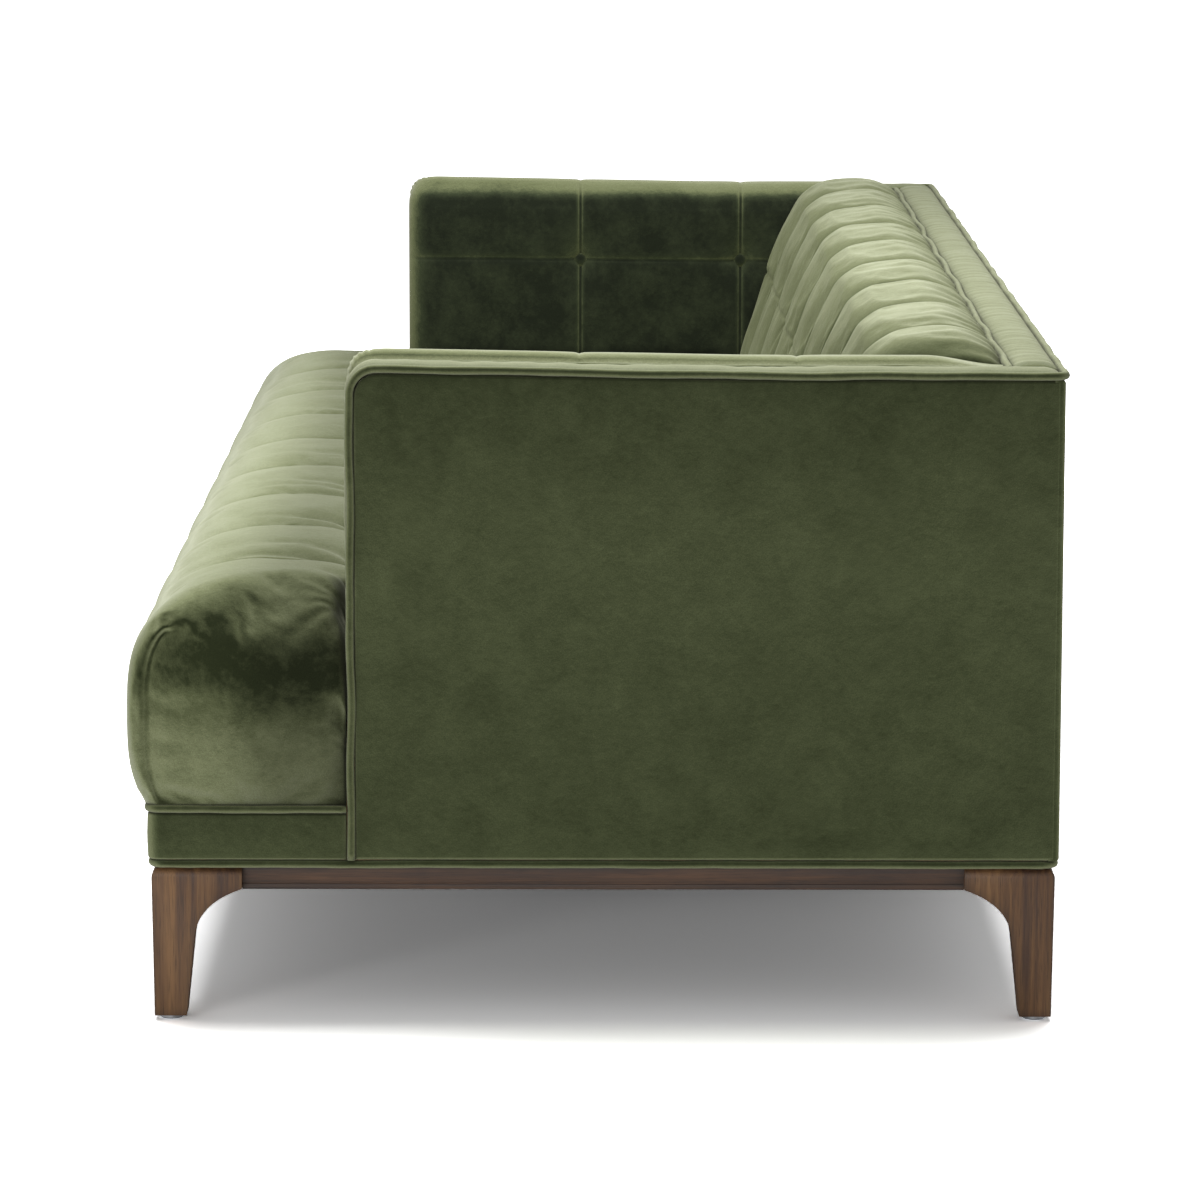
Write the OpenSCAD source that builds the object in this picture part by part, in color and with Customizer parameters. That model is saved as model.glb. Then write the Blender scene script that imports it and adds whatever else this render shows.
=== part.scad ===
// Three-seat sofa with a channelled tight seat and back, tufted arms, piped edges
// and a low wooden base on four bracket legs.
// Millimetres. +Z is up, the seat faces -Y, and the floor is z = 0 below the middle of the sofa.
// Left and right are those of someone who stands in front and looks at the seat.

/* [Overall] */
// Width over the outer welts of the two arms
sofa_w = 2311; // [2150:1:2600]
// Depth from the front of the seat to the rear welt
sofa_d = 990; // [940:1:1060]
// Height of the arms and of the back's rear edge, at the top of the outer welt
arm_h = 698; // [660:1:760]
// Rise of the back cushion's crest above the outer welt
crest_rise = 22; // [14:1:32]
// Height of the seat, at the sewn lines between its channels
seat_h = 459; // [440:1:485]
// Height of the top of the wooden base
base_h = 166; // [150:1:185]

/* [Cover] */
// Diameter of the welt cord
welt_d = 9; // [7:0.5:11]
// Clear width of the strip between the two welts on the arms and the back
boxing_w = 46; // [38:1:60]
// Thickness of that strip, with its padding
boxing_t = 8; // [5:1:10]
// Thickness of the outside panels, with their padding
panel_t = 12; // [9:1:16]
// How far the welts stand out of the outside panels
welt_proud = 3.5; // [2:0.5:4.5]
// How far the strip between the welts lies below their tops
boxing_dip = 2; // [1:0.5:4]
// How far the cushions' edges lie behind the faces beside them
edge_inset = 2; // [1:0.5:3]
// Radius of the arm's outline at its top front corner
arm_corner_r = 42; // [36:1:55]
// Radius of the seat front's corners in plan
plan_corner_r = 14; // [10:1:20]
// Clearance between pieces that lie against each other
fit_gap = 0.3; // [0.2:0.05:0.5]

/* [Seat] */
// How far the seat reaches in front of the arms
seat_reach = 231; // [190:1:270]
// How far the seat bulges in front of the band below it
seat_overhang = 19; // [12:1:26]
// Number of channels in the seat
seat_channels = 9; // [7:2:9]
// Width of the seat's two end channels, as a share of the others
seat_end_share = 0.906; // [0.85:0.002:1]
// Rise of a seat channel above its sewn lines
seat_crown = 16; // [8:1:20]
// Thickness of the padded cover over the seat's foam block
seat_cover_t = 50; // [40:1:60]
// Radius with which the seat's ends roll over
seat_end_r = 48; // [36:1:60]
// Height of the band between the seat's welt and the base's welt
band_h = 50; // [42:1:60]

/* [Back] */
// Depth of the back cushion at its foot
back_foot_d = 226; // [200:1:240]
// Number of channels in the back
back_channels = 9; // [7:2:9]
// Width of the back's two end channels, as a share of the others
back_end_share = 0.81; // [0.75:0.005:1]
// Depth of the back's sewn lines below its channels
back_crown = 15; // [8:1:20]
// Depth of the dip where the back's row of tufts crosses a channel
back_tuft_dip = 9; // [4:1:12]
// Thickness of the padded cover over the back's foam block
back_cover_t = 48; // [40:1:60]

/* [Arm pads] */
// How far the pad bulges inwards past the inner welt
arm_pad_bulge = 40; // [32:1:48]
// Rise of the pad's top above the welts
arm_pad_rise = 8; // [4:1:12]
// Depth of the pad's sewn lines
arm_seam_dip = 7; // [4:1:10]
// Depth of the pad's tufts under the buttons
arm_tuft_dip = 13; // [9:1:16]
// Place of the front column of buttons, as a share of the pad's length
button_front_share = 0.347; // [0.3:0.001:0.38]
// Place of the rear column of buttons, as a share of the pad's length
button_rear_share = 0.681; // [0.65:0.001:0.72]
// Height of the row of buttons below the top of the welt
button_drop = 104; // [90:1:120]
// Diameter of a covered button
button_d = 22; // [18:1:26]
// Thickness of a covered button
button_t = 7; // [5:1:9]

/* [Wooden base] */
// Height of the base rails
rail_h = 24.5; // [20:0.5:30]
// Thickness of the base rails
rail_t = 25; // [20:1:27]
// How far the rails lie behind the faces of the legs
rail_setback = 9; // [5:1:10]
// Width and depth of the groove along the rails' lower edge
rail_groove = 2; // [1:0.5:3]
// Height of the bead below that groove
rail_bead = 5.5; // [4:0.5:8]
// How far the legs lie inside the faces of the panels above
leg_inset = 4; // [2:1:6]
// Length of a leg's bracket along the rails
leg_wing = 96; // [86:1:120]
// Height of a bracket at its end
leg_wing_h = 23; // [18:1:28]
// Width of a leg at the floor
leg_foot = 34; // [28:1:40]
// How much a leg's outer faces lean in towards the floor
leg_taper = 2; // [1:0.5:4]
// How much a leg widens from the floor to the start of its curve
leg_flare = 9; // [5:1:14]
// Height of the curve between the leg and its bracket
leg_curve_h = 53; // [40:1:65]
// Radius of a leg's top outer corner
leg_corner_r = 10; // [6:1:12]
// Diameter of a glide
glide_d = 26; // [20:1:30]
// Height of a glide
glide_h = 5; // [4:0.5:8]

/* [Frame] */
// Thickness of the hardwood boards
board_t = 32; // [26:1:34]
// Height of the seat rails
seat_rail_h = 134; // [125:1:140]
// Height of the top rails of the arms and the back
top_rail_h = 38; // [30:1:45]
// Height of the seat's cross rails
cross_rail_h = 64; // [50:1:80]
// Side of a corner block
block_leg = 90; // [70:1:110]
// Height of a corner block
block_h = 50; // [40:1:60]

/* [Suspension and fastenings] */
// Number of sinuous springs
spring_count = 9; // [7:1:10]
// Thickness of the spring wire
spring_wire = 4; // [3.5:0.1:4.2]
// Width of a sinuous spring
spring_w = 48; // [40:1:56]
// Distance between the cross bars of a spring
spring_step = 38; // [34:1:44]
// Height of a spring clip
clip_h = 6; // [5.5:0.5:8]
// Width of a spring clip
clip_w = 22; // [16:1:30]
// Length of a spring clip along its spring
clip_l = 21; // [16:1:24]
// Thickness of the deck cloth and its pad
deck_t = 3; // [2:0.5:5]
// Number of webbing strips across the back
webbing_count = 5; // [3:1:6]
// Width of a webbing strip
webbing_w = 50; // [40:1:52]
// Thickness of a webbing strip
webbing_t = 2; // [1.5:0.5:3]
// Thickness of the dust cover
dust_t = 1; // [0.5:0.1:1.5]
// Diameter of the dowels between the legs and the rails
dowel_d = 8; // [6:0.5:10]
// Length of a dowel
dowel_l = 40; // [30:1:46]
// Diameter of the screws through the base rails
screw_d = 5; // [4:0.5:6]
// Depth to which those screws enter the frame
screw_bite = 30; // [20:1:40]
// Diameter of a screw's head
screw_head_d = 10; // [9:0.5:11]
// Height of a screw's head
screw_head_h = 3; // [2:0.5:4]
// Diameter of a glide's nail
nail_d = 3; // [2:0.5:4]
// Length of a glide's nail
nail_l = 16; // [12:1:20]

/* [Hidden] */

velvet = "#5f6b3f";
velvet_dark = "#3a4227";
wood = "#6b4d34";
frame_wood = "#c9a877";
foam = "#e6dcc0";
steel = "#b9bcc0";
cloth = "#2b2b2b";
burlap = "#b59a6a";

// Smoothness of the round pieces, and the number of sides of a welt
round_fn = 48;
welt_sides = 8;
bend_steps = 6;

// Half sizes of the whole
half_w = sofa_w / 2;
half_d = sofa_d / 2;
welt_r = welt_d / 2;

// Faces of the outside panels, and the frame behind them
panel_x = half_w - welt_proud;
panel_rear_y = half_d - welt_proud;
band_y = -half_d + seat_overhang;
frame_x = panel_x - panel_t;
frame_rear_y = panel_rear_y - panel_t;
frame_front_y = band_y + panel_t;
side_rail_in = frame_x - board_t;
rear_rail_in = frame_rear_y - board_t;
front_rail_in = frame_front_y + board_t;

// The arms' front, and the lines of the two welts
arm_front_y = -half_d + seat_reach;
welt_out_x = half_w - welt_r;
welt_rear_y = half_d - welt_r;
welt_front_y = arm_front_y + welt_r;
welt_top_z = arm_h - welt_r;
welt_step = boxing_w + welt_d;
welt_in_x = welt_out_x - welt_step;
welt_in_y = welt_rear_y - welt_step;
welt_bend_r = arm_corner_r - welt_r;
arm_bend_y = arm_front_y + arm_corner_r;
arm_bend_z = arm_h - arm_corner_r;

// Heights from the base up
base_welt_z = base_h + fit_gap + welt_r;
panel_bottom = base_welt_z + welt_r + fit_gap;
band_top = panel_bottom + band_h;
seat_welt_z = band_top + fit_gap + welt_r;
seat_bottom = seat_welt_z + welt_r + fit_gap;
frame_top = base_h + seat_rail_h;
spring_z = frame_top + fit_gap;
deck_z = frame_top + clip_h + fit_gap;
pad_bottom = deck_z + deck_t + fit_gap;
boxing_top = arm_h - boxing_dip;
top_rail_top = boxing_top - boxing_t;
top_rail_bottom = top_rail_top - top_rail_h;
crest_z = arm_h + crest_rise;

// Inner faces of the top rails, in line with the inner welt, and the far side of that welt
top_rail_in_x = welt_in_x + welt_r;
top_rail_in_y = welt_in_y + welt_r;
inside_welt_x = welt_in_x - welt_r - fit_gap;
inside_welt_y = welt_in_y - welt_r - fit_gap;

// Arm pad: its innermost face, its front and its row and columns of tufts
pad_x = welt_in_x - arm_pad_bulge;
pad_front_y = arm_front_y + welt_r + edge_inset;
button_z = arm_h - button_drop;
button_ys = [for (s = [button_front_share, button_rear_share])
  pad_front_y + s * (inside_welt_y - pad_front_y)];

// Back cushion: the foot of its front face, and its ends between the arm pads
back_rear_y = rear_rail_in - webbing_t - fit_gap;
back_foot_y = welt_in_y - back_foot_d;
back_end_x = pad_x - fit_gap;

// Seat cushion: its ends and its rear edge
seat_end_x = panel_x - edge_inset;
seat_foot_y = band_y + edge_inset;
seat_rear_y = back_foot_y - fit_gap;
seat_ear_y = arm_front_y - fit_gap;
foam_top = seat_h - seat_cover_t;

// Wooden base: faces of the legs and of the rails
leg_x = panel_x - leg_inset;
leg_front_y = band_y + leg_inset;
leg_rear_y = panel_rear_y - leg_inset;
leg_t = leg_foot + leg_taper;
rail_x = leg_x - rail_setback;
rail_front_y = leg_front_y + rail_setback;
rail_rear_y = leg_rear_y - rail_setback;
rail_z = base_h - rail_h;

// Shares of one channel at which its cross-sections stand, from one sewn line to the next
channel_shares = [0, 0.1, 0.35, 0.65, 0.9];
// Shares along one panel of an arm pad at which its cross-sections stand
rising_shares = [0, 0.07, 0.28];
panel_shares = concat(rising_shares, [0.5, 0.72, 0.93]);
// Share of a glide's height that its rolled edge takes
rolled_share = 0.33;

// Height of a channel's rounded section at share u of its width
function bulge(u) = sqrt(max(0, 1 - pow(2 * u - 1, 2)));

function unit(v) = v / norm(v);

// Unit normal of a planar outline at point i, to the right of its direction
function side_normal(pts, i) =
  let (d = unit(pts[min(i + 1, len(pts) - 1)] - pts[max(i - 1, 0)])) [d[1], -d[0]];

// Mean of a list of points
function total(pts, i) = i == 0 ? pts[0] : pts[i] + total(pts, i - 1);
function mean(pts) = total(pts, len(pts) - 1) / len(pts);

// A solid through closed rings of equal count, closed at both ends by fans round their means
module loft(rings) {
  n = len(rings[0]);
  m = len(rings);
  sides = [for (s = [0 : m - 2], j = [0 : n - 1])
    let (a = s * n + j, b = s * n + (j + 1) % n)
      each [[a, b + n, b], [a, a + n, b + n]]];
  fans = [for (j = [0 : n - 1])
    let (i = (j + 1) % n)
      each [[m * n, j, i], [m * n + 1, (m - 1) * n + i, (m - 1) * n + j]]];
  polyhedron(
    points = concat([for (r = rings) each r], [mean(rings[0]), mean(rings[m - 1])]),
    faces = concat(sides, fans)
  );
}

// Points of a quarter bend of radius r at the corner p, from direction u to direction v
function bend(p, u, v, r, steps) =
  [for (s = [0 : steps]) let (a = 90 * s / steps) p - r * u * (1 - sin(a)) + r * v * (1 - cos(a))];

// Normals carried along a path without twist
function carried(path, first, i) =
  i == 0 ? [first] :
  let (
    before = carried(path, first, i - 1),
    t = unit(path[min(i + 1, len(path) - 1)] - path[i - 1]),
    w = before[i - 1]
  )
  concat(before, [unit(w - (w * t) * t)]);

// Rings of a round cord of radius r along a path
function cord_rings(path, r, first) =
  let (normals = carried(path, first, len(path) - 1))
  [for (i = [0 : len(path) - 1])
    let (
      t = unit(path[min(i + 1, len(path) - 1)] - path[max(i - 1, 0)]),
      u = normals[i],
      v = cross(t, u)
    )
    [for (j = [0 : welt_sides - 1])
      let (a = 360 * j / welt_sides) path[i] + r * (cos(a) * u - sin(a) * v)]];

// A cord that closes on itself
module closed_cord(path, r) {
  m = len(path);
  n = welt_sides;
  rings = [for (i = [0 : m - 1])
    let (
      t = unit(path[(i + 1) % m] - path[(i + m - 1) % m]),
      u = [0, 0, 1],
      v = cross(t, u)
    )
    [for (j = [0 : n - 1]) let (a = 360 * j / n) path[i] + r * (cos(a) * u - sin(a) * v)]];
  sides = [for (s = [0 : m - 1], j = [0 : n - 1])
    let (a = s * n + j, b = s * n + (j + 1) % n, c = ((s + 1) % m) * n)
      each [[a, c + (j + 1) % n, b], [a, c + j, c + (j + 1) % n]]];
  polyhedron(points = [for (r = rings) each r], faces = sides);
}

// What is built on the right, placed on either side
module on_side(side) {
  if (side > 0) children();
  else mirror([1, 0, 0]) children();
}

// A box between two corners
module box(low, high) {
  translate(low) cube(high - low);
}

// Outline drawn in Y and Z, extruded along X from x1 to x2
module along_x(x1, x2) {
  translate([x1, 0, 0]) rotate([90, 0, 90]) linear_extrude(x2 - x1) children();
}

// Outline of the arm's rounded front, in Y and Z, drawn in by d and open to y2 and down to z1
function arm_outline(d, y2, z1) =
  let (r = arm_corner_r - d)
  concat(
    [[y2, z1], [arm_front_y + d, z1]],
    [for (s = [0 : bend_steps])
      let (a = 90 * s / bend_steps) [arm_bend_y - r * cos(a), arm_bend_z + r * sin(a)]],
    [[y2, arm_h - d]]
  );

// Legs

// Inner edge of a leg: a straight foot, then a curve into the bracket
leg_curve_z = base_h - leg_wing_h - leg_curve_h;
leg_control_share = 0.7;
function leg_curve(t) =
  let (
    p0 = [leg_t + leg_flare, leg_curve_z],
    p1 = [leg_t + leg_flare * (1 + leg_control_share * leg_curve_h / leg_curve_z),
      leg_curve_z + leg_control_share * leg_curve_h],
    p2 = [leg_wing, base_h - leg_wing_h]
  )
  pow(1 - t, 2) * p0 + 2 * t * (1 - t) * p1 + t * t * p2;

module leg_outline() {
  steps = 10;
  polygon(concat(
    [[leg_taper, glide_h], [leg_t, glide_h]],
    [for (s = [0 : steps]) leg_curve(s / steps)],
    [[leg_wing, base_h]],
    [for (s = [0 : bend_steps])
      let (a = 90 + 90 * s / bend_steps)
        [leg_corner_r * (1 + cos(a)), base_h - leg_corner_r * (1 - sin(a))]]
  ));
}

// Distance from a leg's outer faces to the middle of its glide
leg_glide = leg_taper + leg_foot / 2;

// A leg in the corner of +X and +Y: its outer faces lie on x = 0 and y = 0
module leg() {
  color(wood) difference() {
    intersection() {
      rotate([90, 0, 0]) linear_extrude(leg_wing) leg_outline();
      translate([leg_wing, 0, 0]) rotate([90, 0, 270]) linear_extrude(leg_wing) leg_outline();
    }
    box([leg_t, -leg_wing - fit_gap, 0], [leg_wing + fit_gap, -leg_t, base_h + fit_gap]);
    leg_bores();
  }
}

// Bores for the two dowels and for the glide's nail
module leg_bores() {
  depth = dowel_l / 2 + fit_gap;
  at = rail_setback + rail_t / 2;
  z = base_h - rail_h / 2;
  translate([leg_wing - depth, -at, z]) rotate([0, 90, 0])
    cylinder(h = depth + fit_gap, d = dowel_d + fit_gap, $fn = round_fn);
  translate([at, -leg_wing - fit_gap, z]) rotate([-90, 0, 0])
    cylinder(h = depth + fit_gap, d = dowel_d + fit_gap, $fn = round_fn);
  translate([leg_glide, -leg_glide, glide_h - fit_gap])
    cylinder(h = nail_l + 2 * fit_gap, d = nail_d + fit_gap, $fn = round_fn);
}

// Places a leg's corner: mx and my mirror it, so that its brackets point inwards
module at_leg(side, rear) {
  y = rear > 0 ? leg_rear_y : leg_front_y;
  translate([side * leg_x, y, 0]) mirror([side > 0 ? 1 : 0, 0, 0])
    mirror([0, rear > 0 ? 0 : 1, 0]) children();
}

module leg_front_left() { at_leg(-1, -1) leg(); }
module leg_front_right() { at_leg(1, -1) leg(); }
module leg_rear_left() { at_leg(-1, 1) leg(); }
module leg_rear_right() { at_leg(1, 1) leg(); }

// Base rails

// Section of a base rail: its outer face is x = 0, with a groove above the lower bead
module rail_section() {
  difference() {
    translate([0, rail_z]) square([rail_t, rail_h]);
    translate([-rail_groove, rail_z + rail_bead]) square([2 * rail_groove, rail_groove]);
  }
}

// Places of the screws along the long rails and along the side rails
long_screw_shares = [-0.7, 0, 0.7];
side_screw_shares = [0.25, 0.75];
rail_end_x = leg_x - leg_wing;
rail_end_front = leg_front_y + leg_wing;
rail_end_rear = leg_rear_y - leg_wing;
long_screw_xs = [for (s = long_screw_shares) s * rail_end_x];
side_screw_ys = [for (s = side_screw_shares) rail_end_front + s * (rail_end_rear - rail_end_front)];

// Every screw's place in plan
screw_places = concat(
  [for (x = long_screw_xs) [x, rail_front_y + rail_t / 2]],
  [for (x = long_screw_xs) [x, rail_rear_y - rail_t / 2]],
  [for (y = side_screw_ys) [rail_x - rail_t / 2, y]],
  [for (y = side_screw_ys) [-rail_x + rail_t / 2, y]]
);
module screw_bores() {
  for (p = screw_places) translate([p[0], p[1], rail_z - fit_gap]) {
    cylinder(h = screw_head_h + 2 * fit_gap, d = screw_head_d + fit_gap, $fn = round_fn);
    cylinder(h = rail_h + screw_bite + 2 * fit_gap, d = screw_d + fit_gap, $fn = round_fn);
  }
}

// Bores for the dowels, through the ends of every rail
module dowel_bores(growth) {
  for (p = dowel_places) translate([p[0], p[1], base_h - rail_h / 2]) rotate(p[2])
    cylinder(h = dowel_l + 2 * growth, d = dowel_d + growth, center = true, $fn = round_fn);
}
dowel_places = concat(
  [for (sx = [-1, 1], y = [rail_front_y + rail_t / 2, rail_rear_y - rail_t / 2])
    [sx * rail_end_x, y, [0, 90, 0]]],
  [for (sx = [-1, 1], y = [rail_end_front, rail_end_rear])
    [sx * (rail_x - rail_t / 2), y, [90, 0, 0]]]
);

module long_rail(y, back) {
  color(wood) difference() {
    translate([-rail_end_x, y, 0]) mirror([0, back ? 1 : 0, 0])
      rotate([90, 0, 90]) linear_extrude(2 * rail_end_x) rail_section();
    screw_bores();
    dowel_bores(fit_gap);
  }
}

module side_rail(side) {
  on_side(side) color(wood) difference() {
    translate([rail_x, rail_end_rear, 0]) mirror([1, 0, 0]) rotate([90, 0, 0])
      linear_extrude(rail_end_rear - rail_end_front) rail_section();
    screw_bores();
    dowel_bores(fit_gap);
  }
}

module base_rail_front() { long_rail(rail_front_y, false); }
module base_rail_rear() { long_rail(rail_rear_y, true); }
module base_rail_left() { side_rail(-1); }
module base_rail_right() { side_rail(1); }

// Brace between the long rails, below the dust cover
module base_cross_rail() {
  color(wood) box(
    [-rail_t / 2, rail_front_y + rail_t, rail_z],
    [rail_t / 2, rail_rear_y - rail_t, base_h - dust_t - fit_gap]
  );
}

// Plain square leg below the middle of the brace
module centre_leg() {
  color(wood) difference() {
    box([-leg_foot / 2, -leg_foot / 2, glide_h], [leg_foot / 2, leg_foot / 2, rail_z]);
    translate([0, 0, glide_h - fit_gap])
      cylinder(h = nail_l + 2 * fit_gap, d = nail_d + fit_gap, $fn = round_fn);
  }
}

// Nail-on glide with a rolled edge
module glide() {
  edge = rolled_share * glide_h;
  rotate_extrude($fn = round_fn) polygon([
    [0, 0], [glide_d / 2 - edge, 0], [glide_d / 2, edge], [glide_d / 2, glide_h],
    [nail_d / 2, glide_h], [nail_d / 2, glide_h + nail_l], [0, glide_h + nail_l]
  ]);
}
module glides() {
  color(steel) {
    for (side = [-1, 1], rear = [-1, 1])
      at_leg(side, rear) translate([leg_glide, -leg_glide, 0]) glide();
    glide();
  }
}

module base_dowels() {
  color(frame_wood) dowel_bores(0);
}

// Screws from below through the base rails into the seat rails
module base_screws() {
  color(steel) for (p = screw_places) translate([p[0], p[1], rail_z + fit_gap])
    rotate_extrude($fn = round_fn) polygon([
      [0, 0], [screw_head_d / 2, 0], [screw_head_d / 2, screw_head_h - fit_gap],
      [screw_d / 2, screw_head_h - fit_gap], [screw_d / 2, rail_h + screw_bite - fit_gap],
      [0, rail_h + screw_bite - fit_gap]
    ]);
}

// Hardwood frame

module seat_rail_front() {
  color(frame_wood) difference() {
    box([-side_rail_in, frame_front_y, base_h], [side_rail_in, front_rail_in, frame_top]);
    screw_bores();
  }
}

module seat_rail_rear() {
  color(frame_wood) difference() {
    box([-side_rail_in, rear_rail_in, base_h], [side_rail_in, frame_rear_y, frame_top]);
    screw_bores();
  }
}

module seat_rail_side(side) {
  on_side(side) color(frame_wood) difference() {
    box([side_rail_in, frame_front_y, base_h], [frame_x, frame_rear_y, frame_top]);
    screw_bores();
  }
}
module seat_rail_left() { seat_rail_side(-1); }
module seat_rail_right() { seat_rail_side(1); }

// Two rails from front to back at thirds of the width
cross_rail_x = side_rail_in / 3;
module seat_cross_rails() {
  color(frame_wood) for (side = [-1, 1]) translate([side * cross_rail_x, 0, 0]) box(
    [-board_t / 2, front_rail_in, base_h],
    [board_t / 2, rear_rail_in, base_h + cross_rail_h]
  );
}

// Triangular blocks in the corners of the seat frame
module corner_blocks() {
  color(frame_wood) for (side = [-1, 1], rear = [-1, 1])
    translate([side * side_rail_in, rear > 0 ? rear_rail_in : front_rail_in, base_h])
      linear_extrude(block_h)
        polygon([[0, 0], [-side * block_leg, 0], [0, -rear * block_leg]]);
}

// Posts of an arm, which stand on the side rail
module arm_post(side, y1, y2) {
  on_side(side) color(frame_wood)
    box([side_rail_in, y1, frame_top], [frame_x, y2, top_rail_bottom]);
}
post_front_y = arm_front_y + boxing_dip + boxing_t;
module arm_post_front_left() { arm_post(-1, post_front_y, post_front_y + board_t); }
module arm_post_front_right() { arm_post(1, post_front_y, post_front_y + board_t); }
module arm_post_rear_left() { arm_post(-1, rear_rail_in, frame_rear_y); }
module arm_post_rear_right() { arm_post(1, rear_rail_in, frame_rear_y); }

// Top rail of an arm, rounded at its front like the strip over it
module arm_top_rail(side) {
  on_side(side) color(frame_wood) along_x(top_rail_in_x, frame_x)
    polygon(arm_outline(boxing_dip + boxing_t, frame_rear_y, top_rail_bottom));
}
module arm_top_rail_left() { arm_top_rail(-1); }
module arm_top_rail_right() { arm_top_rail(1); }

module back_top_rail() {
  color(frame_wood) box(
    [-top_rail_in_x, top_rail_in_y, top_rail_bottom],
    [top_rail_in_x, frame_rear_y, top_rail_top]
  );
}

// Two uprights, each midway between two springs with a quarter of the springs outside it
module back_uprights() {
  gap = floor(spring_count / 4);
  x = (spring_xs[gap] + spring_xs[gap + 1]) / 2;
  color(frame_wood) for (side = [-1, 1])
    translate([side * x, 0, 0]) box(
      [-board_t / 2, rear_rail_in, frame_top],
      [board_t / 2, frame_rear_y, top_rail_bottom]
    );
}

// Thin board on the inner faces of an arm's posts, flush with its top rail
module arm_board(side) {
  on_side(side) color(burlap)
    box([top_rail_in_x, post_front_y, pad_bottom], [side_rail_in, rear_rail_in, top_rail_bottom]);
}
module arm_board_left() { arm_board(-1); }
module arm_board_right() { arm_board(1); }

// Suspension

// Outline of a wire of width w along a path of square corners
function wire_outline(path, w) =
  let (
    last = len(path) - 1,
    n = [for (i = [0 : last - 1]) let (d = unit(path[i + 1] - path[i])) [-d[1], d[0]]],
    off = [for (i = [0 : last])
      i == 0 ? n[0] : i == last ? n[last - 1] : n[i - 1] + n[i]]
  )
  concat(
    [for (i = [0 : last]) path[i] + off[i] * w / 2],
    [for (i = [last : -1 : 0]) path[i] - off[i] * w / 2]
  );

// Springs run from the front rail's top to the rear rail's top
spring_y1 = frame_front_y + board_t / 2;
spring_y2 = rear_rail_in + board_t / 2;
spring_bars = floor((spring_y2 - spring_y1) / spring_step);
spring_gap = (spring_y2 - spring_y1) / spring_bars;
spring_xs = [for (i = [0 : spring_count - 1])
  (2 * i - spring_count + 1) * side_rail_in / spring_count];
spring_path = [for (k = [0 : spring_bars])
  let (s = k % 2 == 0 ? 1 : -1, y = spring_y1 + k * spring_gap)
    each [[-s * spring_w / 2, y], [s * spring_w / 2, y]]];

module seat_springs() {
  color(steel) for (x = spring_xs) translate([x, 0, spring_z]) linear_extrude(spring_wire)
    polygon(wire_outline(spring_path, spring_wire));
}

// Clips that hold the end bars of the springs
module spring_clips() {
  wire_room = spring_wire + 2 * fit_gap;
  color(steel) for (x = spring_xs, y = [spring_y1, spring_y2])
    translate([x, y, frame_top]) difference() {
      box([-clip_w / 2, -clip_l / 2, 0], [clip_w / 2, clip_l / 2, clip_h]);
      box([-clip_w, -wire_room / 2, -fit_gap], [clip_w, wire_room / 2, wire_room]);
    }
}

// Cloth and pad over the springs
module seat_deck() {
  color(burlap) box(
    [-side_rail_in + fit_gap, frame_front_y, deck_z],
    [side_rail_in - fit_gap, rear_rail_in - webbing_t - fit_gap, deck_z + deck_t]
  );
}

module back_webbing() {
  z1 = pad_bottom + webbing_w / 2;
  z2 = top_rail_bottom - webbing_w / 2 - fit_gap;
  color(burlap) for (i = [0 : webbing_count - 1])
    translate([0, rear_rail_in - webbing_t, z1 + i * (z2 - z1) / (webbing_count - 1)]) box(
      [-top_rail_in_x + fit_gap, 0, -webbing_w / 2],
      [top_rail_in_x - fit_gap, webbing_t, webbing_w / 2]
    );
}

module dust_cover() {
  inset = max(leg_t, rail_setback + rail_t) + fit_gap;
  color(cloth) box(
    [-leg_x + inset, leg_front_y + inset, base_h - dust_t],
    [leg_x - inset, leg_rear_y - inset, base_h]
  );
}

// Foam blocks

foam_front_y = frame_front_y + panel_t;
seat_foam_rear_y = seat_rear_y - panel_t;
foam_ear_y = seat_ear_y - panel_t;
foam_mid_x = pad_x - panel_t;
module seat_foam() {
  color(foam) translate([0, 0, pad_bottom]) linear_extrude(foam_top - pad_bottom) polygon([
    [-side_rail_in, foam_front_y], [side_rail_in, foam_front_y],
    [side_rail_in, foam_ear_y], [foam_mid_x, foam_ear_y],
    [foam_mid_x, seat_foam_rear_y], [-foam_mid_x, seat_foam_rear_y],
    [-foam_mid_x, foam_ear_y], [-side_rail_in, foam_ear_y]
  ]);
}

// Section of the back's foam block: a slab that leans, in Y and Z
back_lean_share = 0.4;
back_foam_top = top_rail_bottom - fit_gap;
back_foam_front = back_foot_y + back_cover_t;
back_foam_lean = back_foam_front + back_lean_share * (back_rear_y - back_foam_front);
module back_foam() {
  color(foam) along_x(-back_end_x + panel_t, back_end_x - panel_t) polygon([
    [back_foam_front, pad_bottom], [back_rear_y, pad_bottom],
    [back_rear_y, back_foam_top], [back_foam_lean, back_foam_top]
  ]);
}

// Tufted seat

// Section of the seat from its rear foot over the top to its front foot.
// Columns: share of the run from front to rear, share of the height, share of the channels' depth
seat_section_shares = [
  [1, 0, 0], [1, 0.5, 0], [0.99, 0.83, 0.3], [0.965, 0.96, 0.8], [0.9, 1, 1],
  [0.7, 1, 1], [0.5, 1, 1], [0.345, 1, 1], [0.19, 0.985, 1], [0.105, 0.92, 1],
  [0.045, 0.79, 0.9], [0.01, 0.62, 0.8], [0, 0.45, 0.6], [0.01, 0.22, 0.3]
];
// Section of an ear, which ends in front of the arm
ear_section_shares = [
  [1, 0, 0], [1, 0.5, 0], [0.995, 0.88, 0.1], [0.96, 0.975, 0.5], [0.87, 0.997, 0.9],
  [0.78, 1, 1], [0.69, 1, 1], [0.6, 0.995, 1], [0.46, 0.97, 1], [0.31, 0.91, 1],
  [0.14, 0.79, 0.9], [0.03, 0.62, 0.8], [0, 0.45, 0.6], [0.03, 0.22, 0.3]
];

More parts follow.
